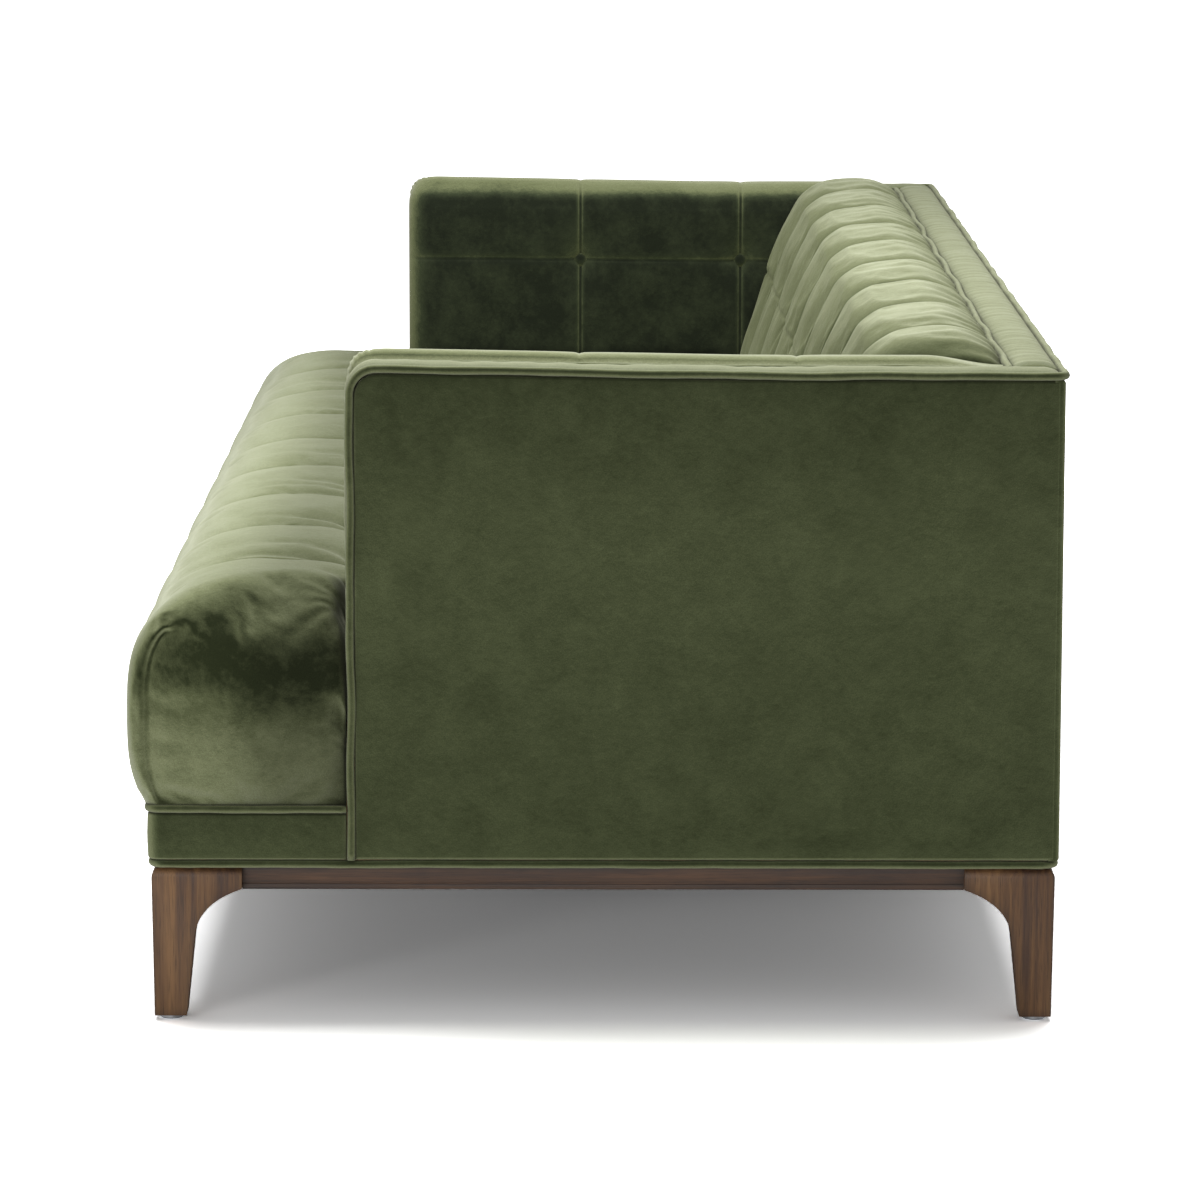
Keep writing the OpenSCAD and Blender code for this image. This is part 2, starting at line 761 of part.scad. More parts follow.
// Outer line of the seat at x: low is its sewn height, up the rise of the channel
function seat_line(shares, y2, low, up, z1) =
  let (
    y1 = -half_d,
    flat = [for (s = shares) [y1 + s[0] * (y2 - y1), z1 + s[1] * (low - z1)]],
    foot = [[seat_foot_y, z1]]
  )
  concat(
    [for (i = [0 : len(shares) - 1]) flat[i] + up * shares[i][2] * side_normal(flat, i) * -1],
    foot
  );

// Inner line of the seat: over the foam block, then down in front of the front rail.
// A solid end has as many points along its flat foot
flat_foot_shares = [0.08, 0.25, 0.42, 0.58, 0.75, 0.92];
function seat_inside(y2, y_foam, z_foot) =
  z_foot < frame_top ?
  [for (s = flat_foot_shares) [seat_foot_y + s * (y2 - seat_foot_y), z_foot]] :
  [
    [frame_front_y - fit_gap, seat_bottom], [frame_front_y - fit_gap, z_foot],
    [foam_front_y - fit_gap, z_foot], [foam_front_y - fit_gap, foam_top + fit_gap],
    [y_foam + fit_gap, foam_top + fit_gap], [y_foam + fit_gap, z_foot]
  ];

// Drawn-in amount towards the seat's end at x
function seat_roll(x) =
  let (t = max(0, (x - seat_end_x + seat_end_r) / seat_end_r))
  seat_end_r * (1 - sqrt(max(0, 1 - t * t)));

// Share of the distance behind the front by which the ends' roll fades along the seat
roll_fade_share = 0.4;

// Section of the seat at x: the sewn lines stay at seat_h and the channels rise above them
function seat_ring(x, u, ear, solid) =
  let (
    roll = seat_roll(abs(x)),
    up = seat_crown * bulge(u),
    y2 = ear ? seat_ear_y : seat_rear_y,
    z1 = ear ? (solid ? seat_bottom : pad_bottom) : pad_bottom,
    line = seat_line(ear ? ear_section_shares : seat_section_shares, y2, seat_h, up, z1),
    inside = seat_inside(y2, ear ? foam_ear_y : seat_foam_rear_y, z1)
  )
  concat(
    [for (p = line) [x,
      p[0] + (p[1] > z1 ? 1 : 0) * max(0, roll - roll_fade_share * (p[0] + half_d)),
      p[1] - roll * max(0, (p[1] - z1) / (seat_h - z1))]],
    [for (p = inside) [x, p[0], p[1]]]
  );

// Places of the rings on the right half: x, share of the channel, ear or not, solid end or not
seat_pitch = 2 * seat_end_x / (seat_channels - 2 + 2 * seat_end_share);
seat_seams = [for (i = [0 : (seat_channels - 3) / 2]) seat_pitch * (i + 0.5)];
last_seam = seat_seams[len(seat_seams) - 1];
seat_wall_x = frame_x + 2 * fit_gap;
// Shares of the last channel up to the arm, its share over the ear, and those of its rolled end
last_channel_shares = [0, 0.1, 0.3, 0.55];
ear_share = 0.6;
roll_shares = [0.55, 0.85, 1];
seat_right = concat(
  [for (i = [0 : len(seat_seams) - 1], s = channel_shares)
    let (x = seat_seams[i] - seat_pitch + s * seat_pitch) if (x > 0) [x, s, false, false]],
  [for (s = last_channel_shares)
    [last_seam + s * (seat_end_x - last_seam), s, false, false]],
  [
    [back_end_x - edge_inset, ear_share, false, false], [back_end_x, ear_share, true, false],
    [seat_wall_x - fit_gap, ear_share, true, false], [seat_wall_x, ear_share, true, true]
  ],
  [for (s = roll_shares) [seat_wall_x + s * (seat_end_x - seat_wall_x), ear_share, true, true]]
);

module seat_cushion() {
  rings = concat(
    [for (i = [len(seat_right) - 1 : -1 : 0])
      let (r = seat_right[i]) seat_ring(-r[0], r[1], r[2], r[3])],
    [seat_ring(0, 0.5, false, false)],
    [for (r = seat_right) seat_ring(r[0], r[1], r[2], r[3])]
  );
  color(velvet) loft(rings);
}

// Tufted back

// Section of the back from its front foot up over the crest to the inner welt.
// Columns: share of the run to the rear, share of the height, share of the channels' depth, tuft row
back_section_shares = [
  [0, 0, 0, 0], [0.004, 0.2, 0, 0], [0.018, 0.32, 0.6, 0], [0.044, 0.4, 1, 0],
  [0.11, 0.515, 1, 0], [0.168, 0.612, 1, 0], [0.217, 0.688, 1, 1], [0.25, 0.745, 1, 0],
  [0.31, 0.83, 1, 0], [0.416, 0.929, 1, 0], [0.567, 0.982, 1, 0], [0.735, 1, 0.9, 0],
  [0.88, 0.983, 0.6, 0]
];

function back_ring(x, u, solid) =
  let (
    y1 = back_foot_y,
    z1 = pad_bottom,
    full = [for (s = back_section_shares)
      [y1 + s[0] * (inside_welt_y - y1), z1 + s[1] * (crest_z - z1)]],
    down = back_crown * (1 - bulge(u))
  )
  concat(
    [for (i = [0 : len(full) - 1])
      let (
        s = back_section_shares[i],
        p = full[i] + (down * s[2] + back_tuft_dip * s[3]) * side_normal(full, i)
      )
      [x, p[0], p[1]]],
    [for (p = [
      [inside_welt_y, boxing_top], [inside_welt_y, top_rail_top],
      [top_rail_in_y - fit_gap, top_rail_top - fit_gap],
      [top_rail_in_y - fit_gap, back_foam_top + fit_gap],
      [solid ? back_rear_y : back_foam_lean - fit_gap, back_foam_top + (solid ? 0 : fit_gap)],
      [solid ? back_rear_y : back_foam_front - fit_gap, z1]
    ]) [x, p[0], p[1]]]
  );

back_pitch = 2 * back_end_x / (back_channels - 2 + 2 * back_end_share);
back_seams = [for (i = [0 : (back_channels - 3) / 2]) back_pitch * (i + 0.5)];
back_last = back_seams[len(back_seams) - 1];
back_wall_x = back_end_x - panel_t;
// Share of a channel's section at which the last one meets the arm
arm_meet_share = 0.9;
back_right = concat(
  [for (i = [0 : len(back_seams) - 1], s = channel_shares)
    let (x = back_seams[i] - back_pitch + s * back_pitch) if (x > 0) [x, s, false]],
  [for (s = channel_shares)
    [back_last + s * (back_wall_x - back_last), s * arm_meet_share, false]],
  [
    [back_wall_x + fit_gap, arm_meet_share, false],
    [back_wall_x + 2 * fit_gap, arm_meet_share, true],
    [back_end_x, 1, true]
  ]
);

module back_cushion() {
  rings = concat(
    [for (i = [len(back_right) - 1 : -1 : 0])
      let (r = back_right[i]) back_ring(-r[0], r[1], r[2])],
    [back_ring(0, 0.5, false)],
    [for (r = back_right) back_ring(r[0], r[1], r[2])]
  );
  color(velvet) loft(rings);
}

// Tufted arm pads

// Section of an arm pad, from its inner foot up over the top to the inner welt, in X and Z.
// Columns: share of the bulge, share of the height, and shares of the sewn depth inwards,
// of the tuft's extra depth and of the sewn depth downwards
pad_section_shares = [
  [0.9, 0, 0, 0, 0], [1, 0.2, 1, 0, 0], [1, 0.5, 1, 0, 0], [0.99, 0.6, 1, 0, 0],
  [0.9, 0.685, 1, 0.5, 0], [0.86, 0.715, 1, 1, 0], [0.9, 0.745, 1, 0.5, 0],
  [0.98, 0.82, 1, 0, 0], [1, 0.9, 1, 0, 0], [0.88, 0.965, 0.8, 0, 0.6],
  [0.62, 0.997, 0, 0, 1], [0.35, 1, 0, 0, 0.8], [0.05, 0.985, 0, 0, 0]
];

// Height of the arm's outline at y, grown by d
function outline_z(y, d) =
  let (r = arm_corner_r + d)
  arm_bend_z + (y > arm_bend_y ? r : sqrt(max(0, r * r - pow(arm_bend_y - y, 2))));

// Heights of the section are shared out so that the tuft row stays at the buttons' height
tuft_row = 5;
function pad_z(s, top) =
  let (row = pad_section_shares[tuft_row][1])
  s < row ? pad_bottom + s / row * (button_z - pad_bottom) :
  button_z + (s - row) / (1 - row) * (top - button_z);

// Run of the pad's section from its innermost face to the inner welt
pad_run = inside_welt_x - pad_x;

// Ring of the pad at y: sewn is 1 on a sewn line, front draws the pad in at its front edge
function pad_ring(y, sewn, front, narrow) =
  let (
    top = outline_z(y, arm_pad_rise * (1 - front)),
    back_x = narrow ? pad_x + pad_run : top_rail_in_x - fit_gap
  )
  concat(
    [for (s = pad_section_shares)
      [
        pad_x + pad_run * (1 - s[0] * (1 - front))
          + sewn * (arm_seam_dip * s[2] + (arm_tuft_dip - arm_seam_dip) * s[3]),
        y,
        pad_z(s[1], top) - sewn * arm_seam_dip * s[4]
      ]],
    [for (p = [
      [pad_x + pad_run, outline_z(y, -boxing_dip - boxing_t - fit_gap)],
      [back_x, outline_z(y, -boxing_dip - boxing_t - fit_gap)],
      [back_x, pad_bottom]
    ]) [p[0], y, p[1]]]
  );

// Places along the pad: its front edge beside the inner welt, then panels between the sewn lines.
// Each gives y, how far the line is sewn, how far the front is drawn in, and if it is narrow
pad_stops = concat([pad_front_y], button_ys, [inside_welt_y]);
pad_wide_y = arm_front_y + welt_d + fit_gap;
front_draw_shares = [0.55, 0.3, 0.28, 0.1, 0, 0, 0, 0];
front_stop_shares = [0.06, 0.2, 0.4, 0.6, 0.8];
button_pitch = button_ys[1] - button_ys[0];
pad_places = concat(
  [
    [pad_front_y, 0, front_draw_shares[0], true],
    [pad_wide_y, 0, front_draw_shares[1], true],
    [pad_wide_y + fit_gap, 0, front_draw_shares[2], false]
  ],
  [for (i = [0 : len(front_stop_shares) - 1])
    [pad_stops[0] + front_stop_shares[i] * (pad_stops[1] - pad_stops[0]), 0,
      front_draw_shares[i + 3], false]],
  [[pad_stops[1] - panel_shares[1] * button_pitch, 1 - bulge(panel_shares[1]), 0, false]],
  [for (s = panel_shares) [pad_stops[1] + s * button_pitch, 1 - bulge(s), 0, false]],
  [for (s = rising_shares)
    [pad_stops[2] + s * (pad_stops[3] - pad_stops[2]), 1 - bulge(s), 0, false]],
  [[inside_welt_y, 0, 0, false]]
);

module arm_pad(side) {
  on_side(side) color(velvet_dark) loft([for (p = pad_places) pad_ring(p[0], p[1], p[2], p[3])]);
}
module arm_pad_left() { arm_pad(-1); }
module arm_pad_right() { arm_pad(1); }

// Covered buttons, with a shank that reaches to the bottom of the tuft.
// Shares of the head's radius and of its thickness, from its middle to its rim
button_shares = [[0, 1], [0.5, 0.9], [0.9, 0.67], [1, 0.33], [1, 0]];
button_sink_share = 0.5;
shank_share = 0.125;
module arm_buttons(side) {
  pit_x = pad_x + pad_run * (1 - pad_section_shares[tuft_row][0]) + arm_tuft_dip;
  sink = button_sink_share * arm_tuft_dip;
  r = button_d / 2;
  on_side(side) color(velvet_dark) for (y = button_ys)
    translate([pit_x - sink, y, button_z]) rotate([0, 90, 0])
      rotate_extrude($fn = round_fn) polygon(concat(
        [for (s = button_shares) [r * s[0], -button_t * s[1]]],
        [
          [r * shank_share, 0], [r * shank_share, sink - 3 * fit_gap],
          [0, sink - 3 * fit_gap]
        ]
      ));
}
module arm_buttons_left() { arm_buttons(-1); }
module arm_buttons_right() { arm_buttons(1); }

// Outside panels, whose edges stop at the welt and below the strip over it

panel_edge = max(welt_d, boxing_dip + boxing_t) + fit_gap;
module outside_arm(side) {
  on_side(side) color(velvet_dark) along_x(frame_x, panel_x)
    polygon(arm_outline(panel_edge, frame_rear_y - fit_gap, panel_bottom));
}
module outside_arm_left() { outside_arm(-1); }
module outside_arm_right() { outside_arm(1); }

module outside_back() {
  color(velvet_dark) box(
    [-panel_x, frame_rear_y, panel_bottom],
    [panel_x, panel_rear_y, arm_h - panel_edge]
  );
}

// Strips between the welts

boxing_rear_y = welt_rear_y - welt_r - fit_gap;
module arm_boxing(side) {
  x2 = welt_out_x - welt_r - fit_gap;
  on_side(side) color(velvet) along_x(top_rail_in_x + fit_gap, x2) difference() {
    polygon(arm_outline(boxing_dip, boxing_rear_y, pad_bottom));
    polygon(arm_outline(boxing_dip + boxing_t, boxing_rear_y + fit_gap, pad_bottom - fit_gap));
  }
}
module arm_boxing_left() { arm_boxing(-1); }
module arm_boxing_right() { arm_boxing(1); }

module back_boxing() {
  color(velvet) box(
    [-top_rail_in_x, top_rail_in_y + fit_gap, top_rail_top],
    [top_rail_in_x, boxing_rear_y, boxing_top]
  );
}

// Band below the seat

module seat_band_front() {
  color(velvet) box(
    [-frame_x + fit_gap, band_y, panel_bottom],
    [frame_x - fit_gap, frame_front_y, band_top]
  );
}

// Side of the band, round the front corner
module seat_band_side(side) {
  r = plan_corner_r - fit_gap;
  on_side(side) color(velvet) translate([0, 0, panel_bottom]) linear_extrude(band_h) polygon(concat(
    [[frame_x, seat_ear_y], [frame_x, band_y]],
    [for (s = [0 : bend_steps])
      let (a = 90 * s / bend_steps)
        [panel_x - r * (1 - sin(a)) * (panel_t - fit_gap) / plan_corner_r, band_y + r * (1 - cos(a))]],
    [[panel_x, seat_ear_y]]
  ));
}
module seat_band_left() { seat_band_side(-1); }
module seat_band_right() { seat_band_side(1); }

// Welts

across = [-1, 0, 0];
forward = [0, -1, 0];
upward = [0, 0, 1];
tight_r = 2 * welt_d;

// Path up the front of the right arm, along it, across the back and down the left arm
function round_arms(x, y, foot) = concat(
  [[x, welt_front_y, foot]],
  bend([x, welt_front_y, welt_top_z], upward, -forward, welt_bend_r, bend_steps),
  bend([x, y, welt_top_z], -forward, across, tight_r, bend_steps),
  bend([-x, y, welt_top_z], across, forward, tight_r, bend_steps),
  bend([-x, welt_front_y, welt_top_z], forward, -upward, welt_bend_r, bend_steps),
  [[-x, welt_front_y, foot]]
);

module welt_outer() {
  color(velvet) loft(cord_rings(round_arms(welt_out_x, welt_rear_y, panel_bottom), welt_r, across));
}

module welt_inner() {
  color(velvet) loft(cord_rings(round_arms(welt_in_x, welt_in_y, pad_bottom), welt_r, across));
}

// Line of the seat's welt, which stands a little out of the band
module welt_seat() {
  x = welt_out_x;
  y = band_y - welt_proud + welt_r;
  path = concat(
    [[x, seat_ear_y, seat_welt_z]],
    bend([x, y, seat_welt_z], forward, across, plan_corner_r, bend_steps),
    bend([-x, y, seat_welt_z], across, -forward, plan_corner_r, bend_steps),
    [[-x, seat_ear_y, seat_welt_z]]
  );
  color(velvet) loft(cord_rings(path, welt_r, upward));
}

// Line of the base's welt, below all the panels
module welt_base() {
  x = panel_x - welt_r;
  y1 = band_y + welt_r;
  y2 = panel_rear_y - welt_r;
  z = base_welt_z;
  color(velvet_dark) closed_cord(concat(
    bend([x, y1, z], forward, across, plan_corner_r, bend_steps),
    bend([-x, y1, z], across, -forward, plan_corner_r, bend_steps),
    bend([-x, y2, z], -forward, -across, plan_corner_r, bend_steps),
    bend([x, y2, z], -across, forward, plan_corner_r, bend_steps)
  ), welt_r);
}

leg_front_left();
leg_front_right();
leg_rear_left();
leg_rear_right();
base_rail_front();
base_rail_rear();
base_rail_left();
base_rail_right();
base_cross_rail();
centre_leg();
glides();
base_dowels();
base_screws();
seat_rail_front();
seat_rail_rear();
seat_rail_left();
seat_rail_right();
seat_cross_rails();
corner_blocks();
arm_post_front_left();
arm_post_front_right();
arm_post_rear_left();
arm_post_rear_right();
arm_top_rail_left();
arm_top_rail_right();
back_top_rail();
back_uprights();
arm_board_left();
arm_board_right();
seat_springs();
spring_clips();
seat_deck();
back_webbing();
dust_cover();
seat_foam();
back_foam();
seat_cushion();
back_cushion();
arm_pad_left();
arm_pad_right();
outside_arm_left();
outside_arm_right();
outside_back();
arm_boxing_left();
arm_boxing_right();
back_boxing();
seat_band_front();
seat_band_left();
seat_band_right();
welt_outer();
welt_inner();
welt_seat();
welt_base();
arm_buttons_left();
arm_buttons_right();
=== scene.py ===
import bmesh
import bpy
import numpy as np
from mathutils import Matrix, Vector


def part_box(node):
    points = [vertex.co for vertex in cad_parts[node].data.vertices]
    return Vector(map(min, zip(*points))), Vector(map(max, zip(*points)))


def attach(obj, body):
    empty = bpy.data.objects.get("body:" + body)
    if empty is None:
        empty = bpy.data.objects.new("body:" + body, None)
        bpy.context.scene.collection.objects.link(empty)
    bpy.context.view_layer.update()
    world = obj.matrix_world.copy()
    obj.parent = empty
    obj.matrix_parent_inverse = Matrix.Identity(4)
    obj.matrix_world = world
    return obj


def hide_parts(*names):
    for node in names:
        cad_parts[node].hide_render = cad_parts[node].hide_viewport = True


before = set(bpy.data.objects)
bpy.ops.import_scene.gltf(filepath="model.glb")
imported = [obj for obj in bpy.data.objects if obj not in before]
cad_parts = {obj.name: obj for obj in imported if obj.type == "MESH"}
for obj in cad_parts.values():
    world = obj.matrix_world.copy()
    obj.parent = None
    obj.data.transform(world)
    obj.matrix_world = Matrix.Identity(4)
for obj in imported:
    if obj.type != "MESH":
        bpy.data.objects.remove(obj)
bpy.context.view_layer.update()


# Camera
# The picture was taken from the sofa's right end with a long lens, from seven metres away and
# twice the arm's height, looking slightly down along the seat.
camera_place = np.array([6.9660, -0.0149, 1.3931])
pitch, yaw, roll = 0.15988, -0.00318, 0.0023
ahead = np.array([-np.cos(yaw) * np.cos(pitch), -np.sin(yaw) * np.cos(pitch), -np.sin(pitch)])
level = np.cross(ahead, [0.0, 0.0, 1.0])
level /= np.linalg.norm(level)
above = np.cross(level, ahead)
to_right = level * np.cos(roll) + above * np.sin(roll)
to_top = above * np.cos(roll) - level * np.sin(roll)
camera = bpy.data.objects.new("camera", bpy.data.cameras.new("camera"))
camera.data.sensor_width = 36.0
camera.data.lens = 167.88
camera.data.clip_end = 100.0
turned = np.eye(4)
turned[:3, 0], turned[:3, 1], turned[:3, 2], turned[:3, 3] = to_right, to_top, -ahead, camera_place
camera.matrix_world = Matrix(turned.tolist())
bpy.context.scene.collection.objects.link(camera)
bpy.context.scene.camera = camera
bpy.context.scene.view_settings.view_transform = "Standard"


# Floor and light
# A white seamless studio floor under one large soft box above the sofa's near end, with a long
# white wall behind the camera that lights the near side and the floor under the base.
def linear(colour):
    """Linear RGBA of an sRGB hex colour: each channel c becomes ((c + 0.055) / 1.055) ** 2.4."""
    c = np.array([int(colour[i:i + 2], 16) for i in (1, 3, 5)]) / 255.0
    low, high = c / 12.92, ((c + 0.055) / 1.055) ** 2.4
    return (*np.where(c <= 0.04045, low, high).tolist(), 1.0)


def add(tree, kind, sockets=None, stops=(), **settings):
    """Adds a shader node: settings are its own, stops pair a ramp's places with sRGB hex colours,
    and sockets give its inputs values or links."""
    made = tree.nodes.new("ShaderNode" + kind)
    if stops:
        marks = made.color_ramp.elements
        for mark, (at, colour) in zip(marks, (stops[0], stops[-1])):
            mark.position, mark.color = at, linear(colour)
        for at, colour in stops[1:-1]:
            marks.new(at).color = linear(colour)
    for name, value in settings.items():
        setattr(made, name, value)
    for name, value in (sockets or {}).items():
        if isinstance(value, bpy.types.NodeSocket):
            tree.links.new(value, made.inputs[name])
        else:
            made.inputs[name].default_value = value
    return made


def new_material(name):
    """An empty node material and its tree."""
    made = bpy.data.materials.new(name)
    made.use_nodes = True
    made.node_tree.nodes.clear()
    return made, made.node_tree


floor_material, tree = new_material("white_studio_paper")
place = add(tree, "TexCoord").outputs["Object"]
away = add(tree, "VectorMath", {0: place}, operation="LENGTH").outputs["Value"]
shown = add(tree, "MapRange", {"Value": away, "From Min": 1.5, "From Max": 3.2, "To Min": 2.9, "To Max": 9.0})
seen = add(tree, "LightPath").outputs["Is Camera Ray"]
level_of = add(tree, "Mix", {"Factor": seen, "A": 0.8, "B": shown.outputs[0]}, data_type="FLOAT")
lit = add(tree, "CombineColor", {0: level_of.outputs[0], 1: level_of.outputs[0], 2: level_of.outputs[0]})
paper = add(tree, "BsdfDiffuse", {"Color": lit.outputs[0]})
add(tree, "OutputMaterial", {"Surface": paper.outputs[0]})

floor_mesh = bpy.data.meshes.new("studio_floor")
reach = 30.0
corners = [(-reach, -reach, 0), (reach, -reach, 0), (reach, reach, 0), (-reach, reach, 0)]
floor_mesh.from_pydata(corners, [], [(0, 1, 2, 3)])
floor_mesh.materials.append(floor_material)
floor = bpy.data.objects.new("studio_floor", floor_mesh)
bpy.context.scene.collection.objects.link(floor)

world = bpy.data.worlds.new("studio")
world.use_nodes = True
bpy.context.scene.world = world
tree = world.node_tree
tree.nodes.clear()
seen = add(tree, "LightPath")
bright = add(tree, "Math", {0: seen.outputs["Is Camera Ray"], 1: seen.outputs["Is Glossy Ray"]},
             operation="MAXIMUM")
strength = add(tree, "MapRange", {"Value": bright.outputs[0], "To Min": 0.20, "To Max": 1.0})
backdrop = add(tree, "Background", {"Color": (1.0, 1.0, 1.0, 1.0), "Strength": strength.outputs[0]})
add(tree, "OutputWorld", {"Surface": backdrop.outputs[0]})


def soft_box(name, place, target, width, height, power):
    """An area lamp of that size in metres at place, aimed at target, with its width level."""
    lamp = bpy.data.objects.new(name, bpy.data.lights.new(name, "AREA"))
    lamp.data.shape = "RECTANGLE"
    lamp.data.size, lamp.data.size_y = width, height
    lamp.data.energy = power
    back = np.array(place, float) - np.array(target, float)
    back /= np.linalg.norm(back)
    side = np.cross([0.0, 0.05, 1.0], back)
    side /= np.linalg.norm(side)
    turned = np.eye(4)
    turned[:3, 0], turned[:3, 1], turned[:3, 2], turned[:3, 3] = side, np.cross(back, side), back, place
    lamp.matrix_world = Matrix(turned.tolist())
    bpy.context.scene.collection.objects.link(lamp)


soft_box("soft_box_above", (0.45, -0.1, 3.0), target=(0.4, 0.0, 0.3), width=1.1, height=2.6, power=102.0)
soft_box("white_wall_behind_camera", (7.8, -2.4, 1.0), target=(0.0, 0.0, 0.6), width=6.0, height=1.6,
         power=222.0)


# Legs and rails
# Bracket legs and narrow beaded rails of solid oak, shaped by router and sander, stained walnut
# brown and left matt. The grain stands upright in the legs and runs along each rail.
def wood(name, light, mid, deep, grain):
    """Stained oak. grain is the axis that the grain follows: rings and pores are noise stretched
    40 times along it, 6 mm and 0.7 mm wide across it, averaged with clouds of 26 mm stretched
    8 times. The stain lies darker in the pores and along the edges, where it dried thick."""
    made, tree = new_material(name)
    place = add(tree, "TexCoord").outputs["Object"]
    stretch = [1.0, 1.0, 1.0]
    stretch[grain] = 1.0 / 40.0
    along = add(tree, "Mapping", {"Vector": place, "Scale": stretch}).outputs[0]
    loose = [1.0, 1.0, 1.0]
    loose[grain] = 1.0 / 8.0
    broad = add(tree, "Mapping", {"Vector": place, "Scale": loose}).outputs[0]
    rings = add(tree, "TexNoise", {"Vector": along, "Scale": 160.0, "Detail": 4.0, "Roughness": 0.6,
                                   "Distortion": 0.4})
    pores = add(tree, "TexNoise", {"Vector": along, "Scale": 1400.0, "Detail": 2.0, "Roughness": 0.5})
    cloud = add(tree, "TexNoise", {"Vector": broad, "Scale": 38.0, "Detail": 3.0, "Roughness": 0.55})
    tone = add(tree, "Math", {0: rings.outputs[0], 1: cloud.outputs[0]}, operation="ADD")
    even = add(tree, "Math", {0: tone.outputs[0], 1: 0.5}, operation="MULTIPLY")
    ramp = add(tree, "ValToRGB", {"Fac": even.outputs[0]}, stops=[(0.38, deep), (0.5, mid), (0.62, light)])
    pit = add(tree, "MapRange", {"Value": pores.outputs[0], "From Min": 0.30, "From Max": 0.46,
                                 "To Min": 0.45, "To Max": 1.0})
    stained = add(tree, "Mix", {"Factor": 1.0, "A": ramp.outputs["Color"], "B": pit.outputs[0]},
                  data_type="RGBA", blend_type="MULTIPLY")
    rim = add(tree, "AmbientOcclusion", {"Distance": 0.012}, samples=6, inside=True)
    worn = add(tree, "MapRange", {"Value": rim.outputs["AO"], "From Min": 0.35, "From Max": 0.95,
                                  "To Min": 0.45, "To Max": 1.0})
    shaded = add(tree, "Mix", {"Factor": 1.0, "A": stained.outputs["Result"], "B": worn.outputs[0]},
                 data_type="RGBA", blend_type="MULTIPLY")
    bump = add(tree, "Bump", {"Strength": 0.5, "Distance": 0.0004, "Height": pores.outputs[0]})
    matt = add(tree, "MapRange", {"Value": rings.outputs[0], "To Min": 0.50, "To Max": 0.68})
    finish = add(tree, "BsdfPrincipled", {
        "Base Color": shaded.outputs["Result"], "Roughness": matt.outputs[0], "IOR": 1.5,
        "Normal": bump.outputs[0]})
    add(tree, "OutputMaterial", {"Surface": finish.outputs[0]})
    return made


def eased(node, name, material, radius):
    """A CAD node's shape as one clean mesh with its edges eased to that radius, in its place."""
    made = bpy.data.objects.new(name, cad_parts[node].data.copy())
    made.data.materials.clear()
    made.data.materials.append(material)
    shell = bmesh.new()
    shell.from_mesh(made.data)
    bmesh.ops.remove_doubles(shell, verts=shell.verts, dist=1e-5)
    bmesh.ops.dissolve_limit(shell, angle_limit=0.02, verts=shell.verts, edges=shell.edges)
    for face in shell.faces:
        face.smooth = True
    shell.to_mesh(made.data)
    shell.free()
    bpy.context.scene.collection.objects.link(made)
    rounding = made.modifiers.new("eased_edges", "BEVEL")
    rounding.width = radius
    rounding.segments = 3
    rounding.limit_method = "ANGLE"
    rounding.angle_limit = 0.6
    rounding.harden_normals = True
    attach(made, "root")
    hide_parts(node)
    return made


upright_oak = wood("stained_oak_upright", "#7e5b37", "#654629", "#432b1a", grain=2)
length_oak = wood("stained_oak_along_x", "#60422b", "#4a311e", "#332013", grain=0)
depth_oak = wood("stained_oak_along_y", "#60422b", "#4a311e", "#332013", grain=1)
for corner in ("front_left", "front_right", "rear_left", "rear_right"):
    eased("leg_" + corner, "oak_leg_" + corner, upright_oak, radius=0.0045)
for side, material in (("front", length_oak), ("rear", length_oak), ("left", depth_oak),
                       ("right", depth_oak)):
    eased("base_rail_" + side, "oak_rail_" + side, material, radius=0.0008)
eased("base_cross_rail", "oak_cross_rail", depth_oak, radius=0.0015)
eased("centre_leg", "oak_centre_leg", upright_oak, radius=0.002)


# Glides, screws and springs
# Bright zinc-plated steel: pressed nail-on glides under the legs, screws up through the rails,
# and black-brown drawn wire for the springs, whose clips are nailed to the rails.
def steel(name, colour, roughness):
    """Drawn or plated steel: noise of 0.3 mm grit in relief moves its roughness from 0.05 less to
    0.1 more."""
    made, tree = new_material(name)
    place = add(tree, "TexCoord").outputs["Object"]
    grit = add(tree, "TexNoise", {"Vector": place, "Scale": 3000.0, "Detail": 2.0})
    rough = add(tree, "MapRange", {"Value": grit.outputs[0], "To Min": roughness - 0.05,
                                   "To Max": roughness + 0.1})
    bump = add(tree, "Bump", {"Strength": 0.2, "Distance": 0.0001, "Height": grit.outputs[0]})
    finish = add(tree, "BsdfPrincipled", {"Base Color": linear(colour), "Metallic": 1.0,
                                          "Roughness": rough.outputs[0], "Normal": bump.outputs[0]})
    add(tree, "OutputMaterial", {"Surface": finish.outputs[0]})
    return made


zinc = steel("bright_zinc_plated_steel", "#c9ccd0", roughness=0.22)
wire = steel("drawn_spring_wire", "#6e6a64", roughness=0.4)


def finish_nodes(material, *nodes):
    """Gives CAD nodes whose own shape shows a finished material in every slot."""
    for name in nodes:
        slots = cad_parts[name].data.materials
        slots.clear()
        slots.append(material)


finish_nodes(zinc, "glides", "base_screws", "spring_clips")
finish_nodes(wire, "seat_springs")


